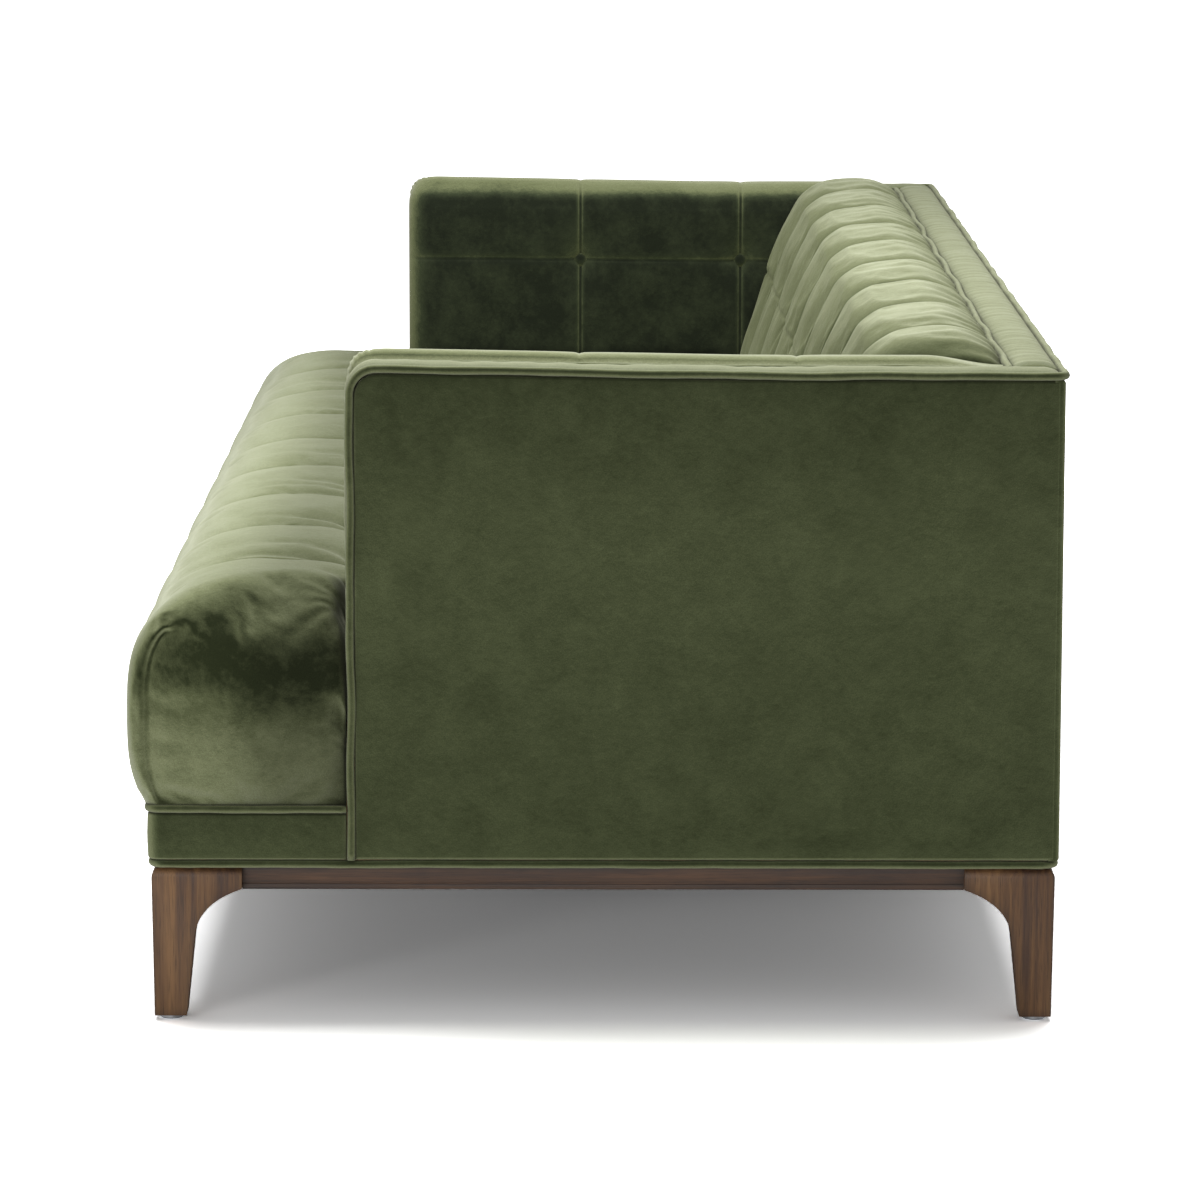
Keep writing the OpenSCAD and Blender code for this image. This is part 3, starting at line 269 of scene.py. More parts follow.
# Hardwood frame
# Sawn beech boards, glued, dowelled and screwed, without any finish. They are closed in by the
# upholstery, and only the lower faces of the seat rails look out above the base.
def sawn_wood(name, grain):
    """Raw beech: pale brown with 8 mm wide rays stretched 25 times along the grain, and saw marks."""
    made, tree = new_material(name)
    place = add(tree, "TexCoord").outputs["Object"]
    stretch = [1.0, 1.0, 1.0]
    stretch[grain] = 0.04
    along = add(tree, "Mapping", {"Vector": place, "Scale": stretch}).outputs[0]
    rays = add(tree, "TexNoise", {"Vector": along, "Scale": 120.0, "Detail": 4.0})
    saw = add(tree, "TexNoise", {"Vector": along, "Scale": 900.0, "Detail": 1.0})
    ramp = add(tree, "ValToRGB", {"Fac": rays.outputs[0]}, stops=[(0.3, "#a88258"), (0.7, "#cdab7d")])
    bump = add(tree, "Bump", {"Strength": 0.4, "Distance": 0.0004, "Height": saw.outputs[0]})
    finish = add(tree, "BsdfPrincipled", {"Base Color": ramp.outputs["Color"], "Roughness": 0.75,
                                          "Normal": bump.outputs[0]})
    add(tree, "OutputMaterial", {"Surface": finish.outputs[0]})
    return made


finish_nodes(sawn_wood("sawn_beech_along_x", grain=0), "seat_rail_front", "seat_rail_rear",
             "back_top_rail", "base_dowels")
finish_nodes(sawn_wood("sawn_beech_along_y", grain=1), "seat_rail_left", "seat_rail_right",
             "seat_cross_rails", "arm_top_rail_left", "arm_top_rail_right", "corner_blocks")
finish_nodes(sawn_wood("sawn_beech_upright", grain=2), "arm_post_front_left", "arm_post_front_right",
             "arm_post_rear_left", "arm_post_rear_right", "back_uprights", "arm_board_left",
             "arm_board_right")


# Velvet
# Cotton velvet, olive green: a dense cut pile about 1.5 mm high on a woven ground. Pile that is
# seen from the side shines pale and pile that is looked into is dark, so light follows the folds;
# this sheen is painted into the colour, and shade is painted into its creases and gaps.
def velvet(name, colours, marks, leans, painted_shade_rows=()):
    """Cut-pile velvet, its sheen painted into the colour. The shading normal is the surface's own
    plus the way that the pile leans. colours are painted at set shares by which that normal turns
    from the eye, one less its cosine: dark down into the pile, a pale painted sheen over its sides.
    Noise of 45 mm and 9 mm, the marks of hands and brushes, shifts the share by up to marks, and
    0.9 mm grain, coarser than the real pile so that it shows, is the cut pile itself. leans gives
    heights in metres and the pile's lean along X and Z there, which also sets painted light and
    shade by height. The rows in Y given last get painted shade: the colour is darker by up to 45%
    within 130 mm of them. Painted shade darkens folds, crevices and gaps over 24 mm."""
    made, tree = new_material(name)
    place = add(tree, "TexCoord").outputs["Object"]
    strokes = add(tree, "TexNoise", {"Vector": place, "Scale": 22.0, "Detail": 3.0, "Roughness": 0.6,
                                     "Distortion": 0.3})
    tips = add(tree, "TexNoise", {"Vector": place, "Scale": 110.0, "Detail": 3.0, "Roughness": 0.65})
    grain = add(tree, "TexNoise", {"Vector": place, "Scale": 1100.0, "Detail": 1.0})
    mixed = add(tree, "Mix", {"Factor": 0.35, "A": strokes.outputs[0], "B": tips.outputs[0]},
                data_type="FLOAT").outputs["Result"]
    facing = add(tree, "NewGeometry").outputs["Normal"]
    lay = (leans[0][1], 0.0, leans[0][2])
    if len(leans) > 1:
        low, high = leans[0][0], leans[-1][0]
        height = add(tree, "SeparateXYZ", {0: place}).outputs["Z"]
        rise = add(tree, "MapRange", {"Value": height, "From Min": low, "From Max": high})
        lean = add(tree, "ValToRGB", {"Fac": rise.outputs[0]})
        lean.color_ramp.interpolation = "EASE"
        for at, along, up in leans[1:-1]:
            lean.color_ramp.elements.new((at - low) / (high - low))
        for stop, (at, along, up) in zip(lean.color_ramp.elements, leans):
            stop.color = (0.5 + along, 0.5, 0.5 + up, 1.0)
        lay = add(tree, "VectorMath", {0: lean.outputs["Color"], 1: (0.5, 0.5, 0.5)},
                  operation="SUBTRACT").outputs[0]
    leaned = add(tree, "VectorMath", {0: facing, 1: lay}, operation="ADD")
    even = add(tree, "VectorMath", {0: leaned.outputs[0]}, operation="NORMALIZE")
    combed = add(tree, "Bump", {"Strength": 0.3, "Distance": 0.004, "Height": mixed,
                                "Normal": even.outputs[0]})
    cut = add(tree, "Bump", {"Strength": 0.45, "Distance": 0.0006, "Height": grain.outputs[0],
                             "Normal": combed.outputs[0]})
    # Painted sheen: the colour ramp runs from dark to pale as the leaned normal turns from the eye.
    turned = add(tree, "LayerWeight", {"Blend": 0.5, "Normal": combed.outputs[0]}).outputs["Facing"]
    shift = add(tree, "MapRange", {"Value": mixed, "From Min": 0.3, "From Max": 0.7,
                                   "To Min": -marks, "To Max": marks})
    share = add(tree, "Math", {0: turned, 1: shift.outputs[0]}, operation="ADD", use_clamp=True)
    ramp = add(tree, "ValToRGB", {"Fac": share.outputs[0]},
               stops=list(zip((0.0, 0.12, 0.28, 0.55, 0.85, 1.0), colours.split())))
    speck = add(tree, "MapRange", {"Value": grain.outputs[0], "From Min": 0.3, "From Max": 0.7,
                                   "To Min": 0.82, "To Max": 1.18})
    pile = add(tree, "Mix", {"Factor": 1.0, "A": ramp.outputs["Color"], "B": speck.outputs[0]},
               data_type="RGBA", blend_type="MULTIPLY", clamp_result=False)
    # Painted shade: ambient occlusion darkens the colour down to 22% in folds, creases and gaps between
    # parts, within 24 mm.
    fold = add(tree, "AmbientOcclusion", {"Distance": 0.024}, samples=6)
    closed = add(tree, "MapRange", {"Value": fold.outputs["AO"], "From Min": 0.40, "From Max": 0.93,
                                    "To Min": 0.22, "To Max": 1.0})
    shaded = add(tree, "Mix", {"Factor": 1.0, "A": pile.outputs["Result"], "B": closed.outputs[0]},
                 data_type="RGBA", blend_type="MULTIPLY", clamp_result=False)
    # Painted shade: the colour darkens by up to 45% towards the given rows in Y.
    if painted_shade_rows:
        across = add(tree, "SeparateXYZ", {0: place}).outputs["Y"]
        gaps = []
        for row in painted_shade_rows:
            off = add(tree, "Math", {0: across, 1: row}, operation="SUBTRACT")
            gaps.append(add(tree, "Math", {0: off.outputs[0]}, operation="ABSOLUTE").outputs[0])
        nearest = add(tree, "Math", {0: gaps[0], 1: gaps[-1]}, operation="MINIMUM")
        painted_row_shade = add(tree, "MapRange", {"Value": nearest.outputs[0], "From Min": 0.015, "From Max": 0.13,
                                           "To Min": 0.55, "To Max": 1.0},
                        interpolation_type="SMOOTHSTEP")
        shaded = add(tree, "Mix", {"Factor": 1.0, "A": shaded.outputs["Result"], "B": painted_row_shade.outputs[0]},
                     data_type="RGBA", blend_type="MULTIPLY", clamp_result=False)
    finish = add(tree, "BsdfPrincipled", {
        "Base Color": shaded.outputs["Result"], "Roughness": 0.9, "Specular IOR Level": 0.1,
        "Sheen Weight": 0.25, "Sheen Roughness": 0.35, "Sheen Tint": linear("#d9dcbc"),
        "Normal": cut.outputs[0]})
    add(tree, "OutputMaterial", {"Surface": finish.outputs[0]})
    return made


# One velvet in five copies: their colour lists and leans differ part by part to paint the light and shade
# each part gets, the back and the inside arms darker, as well as the lean of each part's pile. The seat's two
# painted shade rows lie beside the arms' fronts and towards the back.
seat_velvet = velvet(
    "olive_velvet_seat", "#2e341f #5c6244 #838966 #9a9f81 #b0b499 #c2c6ae", marks=0.07,
    leans=[(0.235, 0.0, -0.50), (0.300, 0.0, -0.50), (0.345, 0.0, -0.25), (0.380, 0.0, 0.0),
           (0.428, -0.16, 0.0), (0.452, 0.14, 0.0), (0.466, 0.28, -0.05)], painted_shade_rows=[-0.300, -0.050])
back_velvet = velvet(
    "olive_velvet_back", "#2a301a #42482f #595f42 #777c5d #a9ad91 #c2c6ae", marks=0.07,
    leans=[(0.30, 0.34, -0.10), (0.62, 0.34, -0.10), (0.69, 0.27, -0.10), (0.72, 0.10, -0.12)])
pad_velvet = velvet(
    "olive_velvet_inside_arm", "#20251a #3c432f #6c7251 #868b69 #a0a488 #b2b69c", marks=0.05,
    leans=[(0.30, 0.0, -0.12), (0.64, 0.0, -0.12), (0.675, -0.12, 0.0), (0.696, -0.35, 0.15),
           (0.714, 0.0, -0.05)])
panel_velvet = velvet(
    "olive_velvet_outside", "#343a24 #565d40 #757b5a #868b6a #989c80 #a8ac92", marks=0.03,
    leans=[(0.17, 0.0, -0.10), (0.32, 0.0, -0.16), (0.50, 0.0, -0.24), (0.70, 0.0, -0.14)])
trim_velvet = velvet(
    "olive_velvet_trim", "#3c422b #5c6244 #757b58 #80856a #8d9175 #a0a48a", marks=0.05,
    leans=[(0.0, 0.0, -0.15)])


# Seat cushion
# One cover over a foam block, pulled down to the webbing in rows of tufts. Nine channels run from
# front to back, roll over the front edge and end at the welt; the cover's ends are darted at the
# front corners and reach out in front of the arms.
def smooth_curve(points, steps):
    """Catmull-Rom curve through points, at steps even shares of its own length."""
    p = np.array(points, float)
    p = np.vstack([2 * p[0] - p[1], p, 2 * p[-1] - p[-2]])
    t = np.linspace(0.0, 1.0, 24, endpoint=False)[:, None]
    parts = [0.5 * (2 * b + (c - a) * t + (2 * a - 5 * b + 4 * c - d) * t ** 2
                    + (3 * b - a - 3 * c + d) * t ** 3)
             for a, b, c, d in zip(p[:-3], p[1:-2], p[2:-1], p[3:])]
    fine = np.vstack(parts + [p[-2][None]])
    length = np.r_[0.0, np.cumsum(np.linalg.norm(np.diff(fine, axis=0), axis=1))]
    at = np.asarray(steps) * length[-1]
    return np.stack([np.interp(at, length, fine[:, k]) for k in range(fine.shape[1])], 1), length[-1]


def even_lines(marks, gap, crowd):
    """Line places that hold every mark, about gap apart and closer by the share crowd at marks:
    between two marks the place at share t is t - crowd * sin(2 pi t) / (2 pi)."""
    lines = [np.array([marks[0]])]
    for a, b in zip(marks[:-1], marks[1:]):
        count = max(2, int(round((b - a) / gap)))
        t = np.arange(1, count + 1) / count
        lines.append(a + (b - a) * (t - crowd * np.sin(2 * np.pi * t) / (2 * np.pi)))
    return np.concatenate(lines)


def channel(u, full=2.4, soft=0.62):
    """Section of a stuffed channel at share u of its width: (1 - |2u - 1| ** full) ** soft."""
    return np.clip(1.0 - np.abs(2 * u - 1) ** full, 0.0, 1.0) ** soft


def nine_channels(place, pitch):
    """Cuts a cover into nine channels. place counts them along X from 0 to 9. For each point it
    gives its channel's index, its share of that channel's width, whether the channel is an end one,
    the share counted outwards there, the section, which stays full past the crown of the end
    channels, and the distance from the nearest seam."""
    index = np.clip(np.floor(place), 0, 8)
    u = place - index
    last = (index == 0) | (index == 8)
    u_out = np.where(index == 8, u, 1 - u)
    section = np.where(last, np.where(u_out < 0.42, channel(u_out / 0.84), 1.0), channel(u))
    return index, u, last, u_out, section, np.where(last, u_out, np.minimum(u, 1 - u)) * pitch


def quarter(t):
    """Drop of a rounded edge at share t of its width, a quarter circle: 1 - sqrt(1 - (1 - t) ** 2)."""
    return 1 - np.sqrt(np.clip(1 - (1 - np.clip(t, 0, 1)) ** 2, 0, 1))


def wander(x, y, seed, size):
    """Smooth unevenness of that size, from -1 to 1: the mean of six sine waves of random
    direction and phase, with wavelengths from 0.7 to 1.6 times size."""
    chance = np.random.default_rng(seed)
    total = 0.0
    for _ in range(6):
        turn, phase = chance.uniform(0, 2 * np.pi), chance.uniform(0, 2 * np.pi)
        wave = size * chance.uniform(0.7, 1.6)
        total = total + np.sin(2 * np.pi * (x * np.cos(turn) + y * np.sin(turn)) / wave + phase)
    return total / 6.0 * 1.6


def new_piece(name, points, faces, material):
    """A smooth-shaded mesh piece from arrays of points and faces, riding on the sofa."""
    mesh = bpy.data.meshes.new(name)
    mesh.from_pydata(np.asarray(points, float).reshape(-1, 3).tolist(), [], np.asarray(faces).tolist())
    mesh.materials.append(material)
    mesh.polygons.foreach_set("use_smooth", np.ones(len(mesh.polygons), bool))
    made = bpy.data.objects.new(name, mesh)
    bpy.context.scene.collection.objects.link(made)
    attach(made, "root")
    return made


def quads(rows, columns, wrap=False, start=0):
    """Faces of a grid of points, row after row; wrap joins the last column to the first."""
    i = np.arange(rows - 1)[:, None]
    j = np.arange(columns if wrap else columns - 1)[None, :]
    k = (j + 1) % columns
    ring = [i * columns + j, i * columns + k, (i + 1) * columns + k, (i + 1) * columns + j]
    return (start + np.stack(ring, -1)).reshape(-1, 4)


def tuck_under(piece, *steps):
    """Carries a cover's open edge through each step, which moves its points, and closes it."""
    shell = bmesh.new()
    shell.from_mesh(piece.data)
    edges = [e for e in shell.edges if e.is_boundary]
    for step in steps:
        grown = bmesh.ops.extrude_edge_only(shell, edges=edges)["geom"]
        edges = [g for g in grown if isinstance(g, bmesh.types.BMEdge) and g.is_boundary]
        for v in {v for e in edges for v in e.verts}:
            v.co = step(v.co)
    bmesh.ops.holes_fill(shell, edges=edges, sides=0)
    bmesh.ops.recalc_face_normals(shell, faces=shell.faces)
    for face in shell.faces:
        face.smooth = True
    shell.to_mesh(piece.data)
    shell.free()


def pleats(u, away, width, tuft_side, spreads, reach_of, deep):
    """Folds that leave a tuft. away is the distance from its row in metres and u the share of the
    channel's width. Each fold's line draws off the seam by spread * (1 - exp(-away / 0.035)); its
    section is steep on the seam's side and slack on the other, and fades out over reach_of."""
    total = 0.0
    for spread, far, depth in zip(spreads, reach_of, deep):
        line = spread * (1 - np.exp(-away / 0.035))
        from_seam = np.where(tuft_side > 0, 1 - u, u)
        t = (from_seam - line) * width / 0.0075
        shape = np.where(t > 0, np.exp(-t), np.exp(t * 3.5))
        total = total + depth * shape * np.clip(away / 0.012, 0, 1) * np.clip(1 - away / far, 0, 1) ** 0.8
    return total


def settle(piece, sewn, spare, pressure, cap):
    """Lets a cover settle as cloth over its filling: it is pinned by the weights in sewn, has spare
    more cloth than the form under it, and is blown by pressure for 20 frames without gravity. No
    point moves further than cap. One level of subdivision then rounds the cover, but leaves a
    crease along every seam, where both ends of an edge are sewn fully."""
    mesh = piece.data
    tight = np.asarray(sewn) > 0.999
    ends = np.empty(2 * len(mesh.edges), int)
    mesh.edges.foreach_get("vertices", ends)
    crease = mesh.attributes.new("crease_edge", "FLOAT", "EDGE")
    creased = np.where(tight[ends.reshape(-1, 2)].all(1), 0.75, 0.0)
    crease.data.foreach_set("value", creased.astype(np.float32))
    group = piece.vertex_groups.new(name="sewn")
    for index, weight in enumerate(sewn):
        if weight > 0:
            group.add([index], float(weight), "REPLACE")
    rest = np.empty(3 * len(mesh.vertices))
    mesh.vertices.foreach_get("co", rest)
    scene = bpy.context.scene
    cloth = piece.modifiers.new("velvet", "CLOTH")
    cloth.settings.vertex_group_mass = "sewn"
    cloth.settings.quality = 5
    cloth.settings.mass = 0.35
    cloth.settings.tension_stiffness = 18.0
    cloth.settings.compression_stiffness = 10.0
    cloth.settings.shear_stiffness = 8.0
    cloth.settings.bending_stiffness = 0.35
    cloth.settings.shrink_min = -spare
    cloth.settings.use_pressure = True
    cloth.settings.uniform_pressure_force = pressure
    cloth.settings.effector_weights.gravity = 0.0
    cloth.collision_settings.use_collision = False
    cloth.collision_settings.use_self_collision = False
    cloth.point_cache.frame_start, cloth.point_cache.frame_end = 1, 20
    for frame_number in range(1, 21):
        scene.frame_set(frame_number)
    settled = np.empty_like(rest)
    shown = piece.evaluated_get(bpy.context.evaluated_depsgraph_get())
    shown.data.vertices.foreach_get("co", settled)
    piece.modifiers.remove(cloth)
    scene.frame_set(1)
    moved = (settled - rest).reshape(-1, 3)
    size = np.linalg.norm(moved, axis=1, keepdims=True)
    moved *= cap * np.tanh(size / cap) / np.maximum(size, 1e-9)
    mesh.vertices.foreach_set("co", rest + moved.reshape(-1))
    mesh.update()
    piece.vertex_groups.clear()
    rounding = piece.modifiers.new("rounded", "SUBSURF")
    rounding.levels = rounding.render_levels = 1
    rounding.use_limit_surface = False
    rounded = bpy.data.meshes.new_from_object(piece.evaluated_get(bpy.context.evaluated_depsgraph_get()))
    piece.modifiers.clear()
    piece.data = rounded


def sewn_weights(points, merged):
    """Weights of a merged mesh's points, each taken from the nearest of the points given as
    (place, weight) arrays."""
    places, weights = points
    look = {tuple(p): w for p, w in zip(np.round(places, 4).tolist(), weights.tolist())}
    return [look.get(tuple(np.round(v.co, 4).tolist()), 0.0) for v in merged.vertices]


seat_pitch = 0.26101
between_pads = 1.0557
arm_front = -0.2646
seat_profile = [
    (0.2065, 0.3110), (0.2085, 0.3800), (0.2040, 0.4320), (0.1880, 0.4550), (0.1500, 0.4620),
    (0.0500, 0.4640), (-0.1000, 0.4640), (-0.3300, 0.4640), (-0.3750, 0.4635), (-0.4000, 0.4605),
    (-0.4290, 0.4540), (-0.4510, 0.4440), (-0.4690, 0.4290), (-0.4810, 0.4110), (-0.4890, 0.3890),
    (-0.4935, 0.3640), (-0.4950, 0.3350), (-0.4945, 0.3050), (-0.4915, 0.2750), (-0.4850, 0.2500),
    (-0.4785, 0.2335)]
fine, seat_run = smooth_curve(seat_profile, np.linspace(0, 1, 2000))
on_top = fine[:, 1] > 0.42


def row_at(y):
    """Distance along the seat's profile at which its upper side passes y."""
    return seat_run * np.interp(-y, -fine[on_top, 0], np.linspace(0, 1, 2000)[on_top])


tuft_rows = [row_at(-0.010), row_at(-0.245)]
arm_line_at, dart_at = row_at(arm_front), row_at(-0.4625)
seat_rows = even_lines([0.0, *tuft_rows, arm_line_at, row_at(-0.36), dart_at, seat_run],
                       gap=0.0080, crowd=0.30)
profile, _ = smooth_curve(seat_profile, seat_rows / seat_run)
along = np.gradient(profile, axis=0)
out = np.stack([along[:, 1], -along[:, 0]], 1) / np.linalg.norm(along, axis=1)[:, None]

roll_start = 1.060
seat_seams = seat_pitch * (np.arange(8) - 3.5)
inner_columns = even_lines([-between_pads, *seat_seams, between_pads], gap=0.0068, crowd=0.66)
roll_share = np.linspace(0, 1, 29)
columns = np.r_[-roll_start - roll_share[::-1], inner_columns, roll_start + roll_share]


def seat_surface():
    """Points of the cover and how far each is sewn down. Each channel sinks from its crown to its
    seams by the channel section; the tuft rows press a trough across it, and pleats leave each
    tuft. Towards the ends the cover follows an ellipse, 90 by 110 mm on top and 19 mm round at the
    front corners, where a dart draws it in by 5 mm. Where it meets an arm it turns down through a
    quarter circle, and six folds leave the pinch in front of the arm."""
    s, y, z = seat_rows[:, None], profile[:, 0][:, None], profile[:, 1][:, None]
    flat_x = np.clip(np.abs(columns), 0, roll_start)[None, :]
    share = np.clip(np.abs(columns) - roll_start, 0, 1)[None, :]
    place = np.sign(columns)[None, :] * flat_x / seat_pitch + 4.5
    index, u, last, u_out, section, from_seam = nine_channels(place, seat_pitch)
    depth = np.interp(seat_rows, [0, 0.05, 0.12, 0.20, row_at(-0.36), row_at(-0.44), dart_at + 0.05,
                                  dart_at + 0.11, seat_run],
                      [0.002, 0.004, 0.010, 0.016, 0.0165, 0.015, 0.010, 0.008, 0.006])[:, None]
    sink = depth * (1 - section)
    trough = sum(np.exp(-(np.abs(s - t) / 0.040) ** 1.7) for t in tuft_rows)
    fade_out = np.where(last, np.clip(1.25 - u_out / 0.8, 0, 1), 1.0)
    sink = sink + trough * fade_out * (0.011 + 0.013 * np.exp(-from_seam / 0.034))
    sink = sink + sum(0.008 * np.exp(-np.hypot(s - t, from_seam) / 0.012) for t in tuft_rows)
    sink = sink + 0.0042 * np.exp(-from_seam / 0.0024) * np.clip((s - 0.10) / 0.05, 0, 1)
    chance = np.random.default_rng(11)
    for t in tuft_rows:
        for way in (-1, 1):
            away = np.clip((s - t) * way, 0, None)
            for i in range(9):
                for side in (0, 1):
                    if (i == 0 and side == 0) or (i == 8 and side == 1):
                        continue
                    count = int(chance.integers(3, 6)) if side else int(chance.integers(1, 3))
                    spreads = np.sort(chance.uniform(0.03, 0.34, count))
                    folds = pleats(u, away, seat_pitch, side, spreads, chance.uniform(0.09, 0.19, count),
                                   chance.uniform(0.0036, 0.0078, count) * (1.0 if side else 0.6))
                    sink = sink + folds * (index == i) * (away > 0) * np.clip(section * 3, 0, 1)
    sink = sink - 0.0010 * wander(place * seat_pitch, s, 5, 0.10) * section
    near_front = np.clip((row_at(-0.33) - s) / (row_at(-0.33) - dart_at), 0, 1)
    end_width, end_drop, tight = 0.090, 0.110, 0.019
    over = end_width + (0.026 - end_width) * near_front
    under = end_drop + (0.020 - end_drop) * near_front
    low = np.clip((s - dart_at) / 0.05, 0, 1)
    over, under = over + (tight - over) * low, under + (tight - under) * low
    level = end_width - over
    turn_at = level / (level + 0.785 * (over + under))
    straight = np.where(turn_at > 0, np.clip(share / np.maximum(turn_at, 1e-6), 0, 1), 1.0)
    angle = np.pi / 2 * np.clip((share - turn_at) / (1 - turn_at), 0, 1)
    x = np.where(share > 0, roll_start + level * straight + over * np.sin(angle), flat_x)
    drop = under * (1 - np.cos(angle))
    gap_x, gap_y = between_pads - np.abs(flat_x), arm_front - y
    near = np.where((gap_x > 0) & (gap_y > 0), np.hypot(gap_x, gap_y), np.maximum(gap_x, gap_y))
    near = np.where(share > 0, np.maximum(gap_y, 0), near)
    turn = 0.022
    dive = turn * quarter(near / turn) * (z > 0.40)
    along_arm, down_end = s - arm_line_at, (share - 0.36) * 0.157
    from_pinch, turn_at_pinch = np.hypot(along_arm, down_end), np.arctan2(down_end, along_arm)
    star = 0.014 * np.exp(-from_pinch / 0.011)
    for at, deep in ((-1.25, 0.0040), (-0.72, 0.0068), (-0.28, 0.0050), (0.18, 0.0070),
                     (0.66, 0.0056), (1.20, 0.0080)):
        off = turn_at_pinch - at
        fold = np.exp(-(off / 0.17) ** 2) - 0.4 * np.exp(-((off - 0.28) / 0.16) ** 2)
        star = star + deep * fold * np.clip(from_pinch / 0.008, 0, 1) * np.exp(-from_pinch / 0.040)
    star = star * np.clip(share * 12, 0, 1)
    x, drop = x - star * np.sin(angle), drop + star * np.cos(angle)
    groove = np.clip((s - dart_at) / 0.012, 0, 1) * np.clip((seat_run - s) / 0.010, 0, 1)
    x = np.sign(columns)[None, :] * (x - 0.0050 * groove * (share >= 1))
    out_y, out_z = out[:, 0][:, None], out[:, 1][:, None]
    drop_z = np.where(z < 0.36, 0.0, out_z)
    towards_end = 0.005 * x * np.clip((z - 0.30) / 0.1, 0, 1)
    spot = np.stack([x * np.ones_like(s), y - out_y * (sink + drop),
                     z - out_z * sink - drop_z * drop - dive + towards_end], -1)
    sewn = np.clip(1.3 - from_seam / 0.004, 0, 1) * (share <= 0)
    sewn = sewn + sum(np.exp(-(np.hypot(s - t, from_seam) / 0.010) ** 2) for t in tuft_rows)
    return spot, np.clip(sewn * np.ones_like(spot[..., 0]), 0, 1)


seat_points, seat_sewn = seat_surface()
rows, cols = seat_points.shape[:2]
faces = quads(rows, cols)
middle_x = np.abs(columns[:-1] + columns[1:])[None, :] / 2 * np.ones((rows - 1, 1))
middle_s = (seat_rows[:-1] + seat_rows[1:])[:, None] / 2 * np.ones((1, cols - 1))
faces = faces[~((middle_x > between_pads) & (middle_s < arm_line_at)).reshape(-1)][:, ::-1]
arm_row = int(np.argmin(np.abs(seat_rows - arm_line_at)))
dart_row = int(np.argmin(np.abs(seat_rows - dart_at)))
seat_sewn[-1] = seat_sewn[0] = 1.0
edge_column = len(roll_share)
seat_sewn[:arm_row, [edge_column, cols - 1 - edge_column]] = 1.0
seat_sewn[arm_row, :edge_column + 1] = seat_sewn[arm_row, -edge_column - 1:] = 1.0
patches, patch_faces, patch_sewn = [], [], []
for side in (0, cols - 1):
    top, front = seat_points[arm_row:dart_row + 1, side], seat_points[dart_row:, side]
    corner_a, corner_b, corner_c = top[0], front[0], front[-1]
    corner_d = np.array([corner_c[0], corner_a[1], corner_c[2]])
    p = np.linspace(0, 1, len(top))[:, None, None]
    q = np.linspace(0, 1, len(front))[None, :, None]
    rear, foot = corner_a + (corner_d - corner_a) * q[0], corner_d + (corner_c - corner_d) * p[:, 0]
    patch = ((1 - q) * top[:, None] + q * foot[:, None] + (1 - p) * rear[None] + p * front[None]
             - (1 - p) * (1 - q) * corner_a - p * (1 - q) * corner_b
             - (1 - p) * q * corner_d - p * q * corner_c)
    swell = 0.0060 * np.sin(np.pi * np.clip(p, 0, 1)) ** 0.8 * np.sin(np.pi * q) ** 0.7
    above_rail = np.clip((patch[..., 2:3] - 0.312) / 0.03, 0, 1)
    by_arm = np.exp(-((patch[..., 1:2] - arm_front) / 0.015) ** 2)
    hollow = (0.005 + 0.018 * above_rail) * by_arm * np.clip(q * 3, 0, 1)
    patch[..., 0:1] += np.sign(corner_a[0]) * (swell - hollow)
    start = rows * cols + sum(len(e) for e in patches)
    patches.append(patch.reshape(-1, 3))
    grid = quads(len(top), len(front), start=start)
    patch_faces.append(grid if side == 0 else grid[:, ::-1])
    held = np.zeros(patch.shape[:2])
    held[0] = held[-1] = held[:, -1] = 1.0
    patch_sewn.append(held.reshape(-1))
    seat_sewn[dart_row:, side] = 1.0
seat_all = np.vstack([seat_points.reshape(-1, 3)] + patches)
seat_held = np.concatenate([seat_sewn.reshape(-1)] + patch_sewn)
seat = new_piece("seat_cushion_cover", seat_all, np.vstack([faces] + patch_faces), seat_velvet)


def merge_doubles(piece):
    """Joins points that lie together and drops those that no face uses."""
    shell = bmesh.new()
    shell.from_mesh(piece.data)
    bmesh.ops.remove_doubles(shell, verts=shell.verts, dist=2e-5)
    bmesh.ops.delete(shell, geom=[v for v in shell.verts if not v.link_faces], context="VERTS")
    shell.to_mesh(piece.data)
    shell.free()


merge_doubles(seat)
settle(seat, sewn_weights((seat_all, seat_held), seat.data), spare=0.014, pressure=2.5, cap=0.005)
tuck_under(seat, lambda p: (p.x - 0.010 * np.sign(p.x) * (abs(p.x) > 1.13),
                            min(max(p.y, -0.465), 0.197), p.z),
           lambda p: (p.x, p.y, max(p.z, 0.311)))
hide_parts("seat_cushion")


# Back cushion
# Made as the seat is, over a slab that leans on the back's webbing: nine channels rise from behind
# the seat, are pulled in by one row of tufts, and curl over the top down to the inner welt.
back_pitch = 0.244942
back_seams = back_pitch * (np.arange(8) - 3.5)
back_profile = [
    (0.1985, 0.3110), (0.1990, 0.3900), (0.2040, 0.4500), (0.2130, 0.4900), (0.2240, 0.5260),
    (0.2380, 0.5690), (0.2520, 0.6110), (0.2650, 0.6450), (0.2790, 0.6725), (0.2930, 0.6935),
    (0.3140, 0.7095), (0.3360, 0.7175), (0.3640, 0.7210), (0.3880, 0.7195), (0.4070, 0.7145),
    (0.4240, 0.7060), (0.4360, 0.6910)]


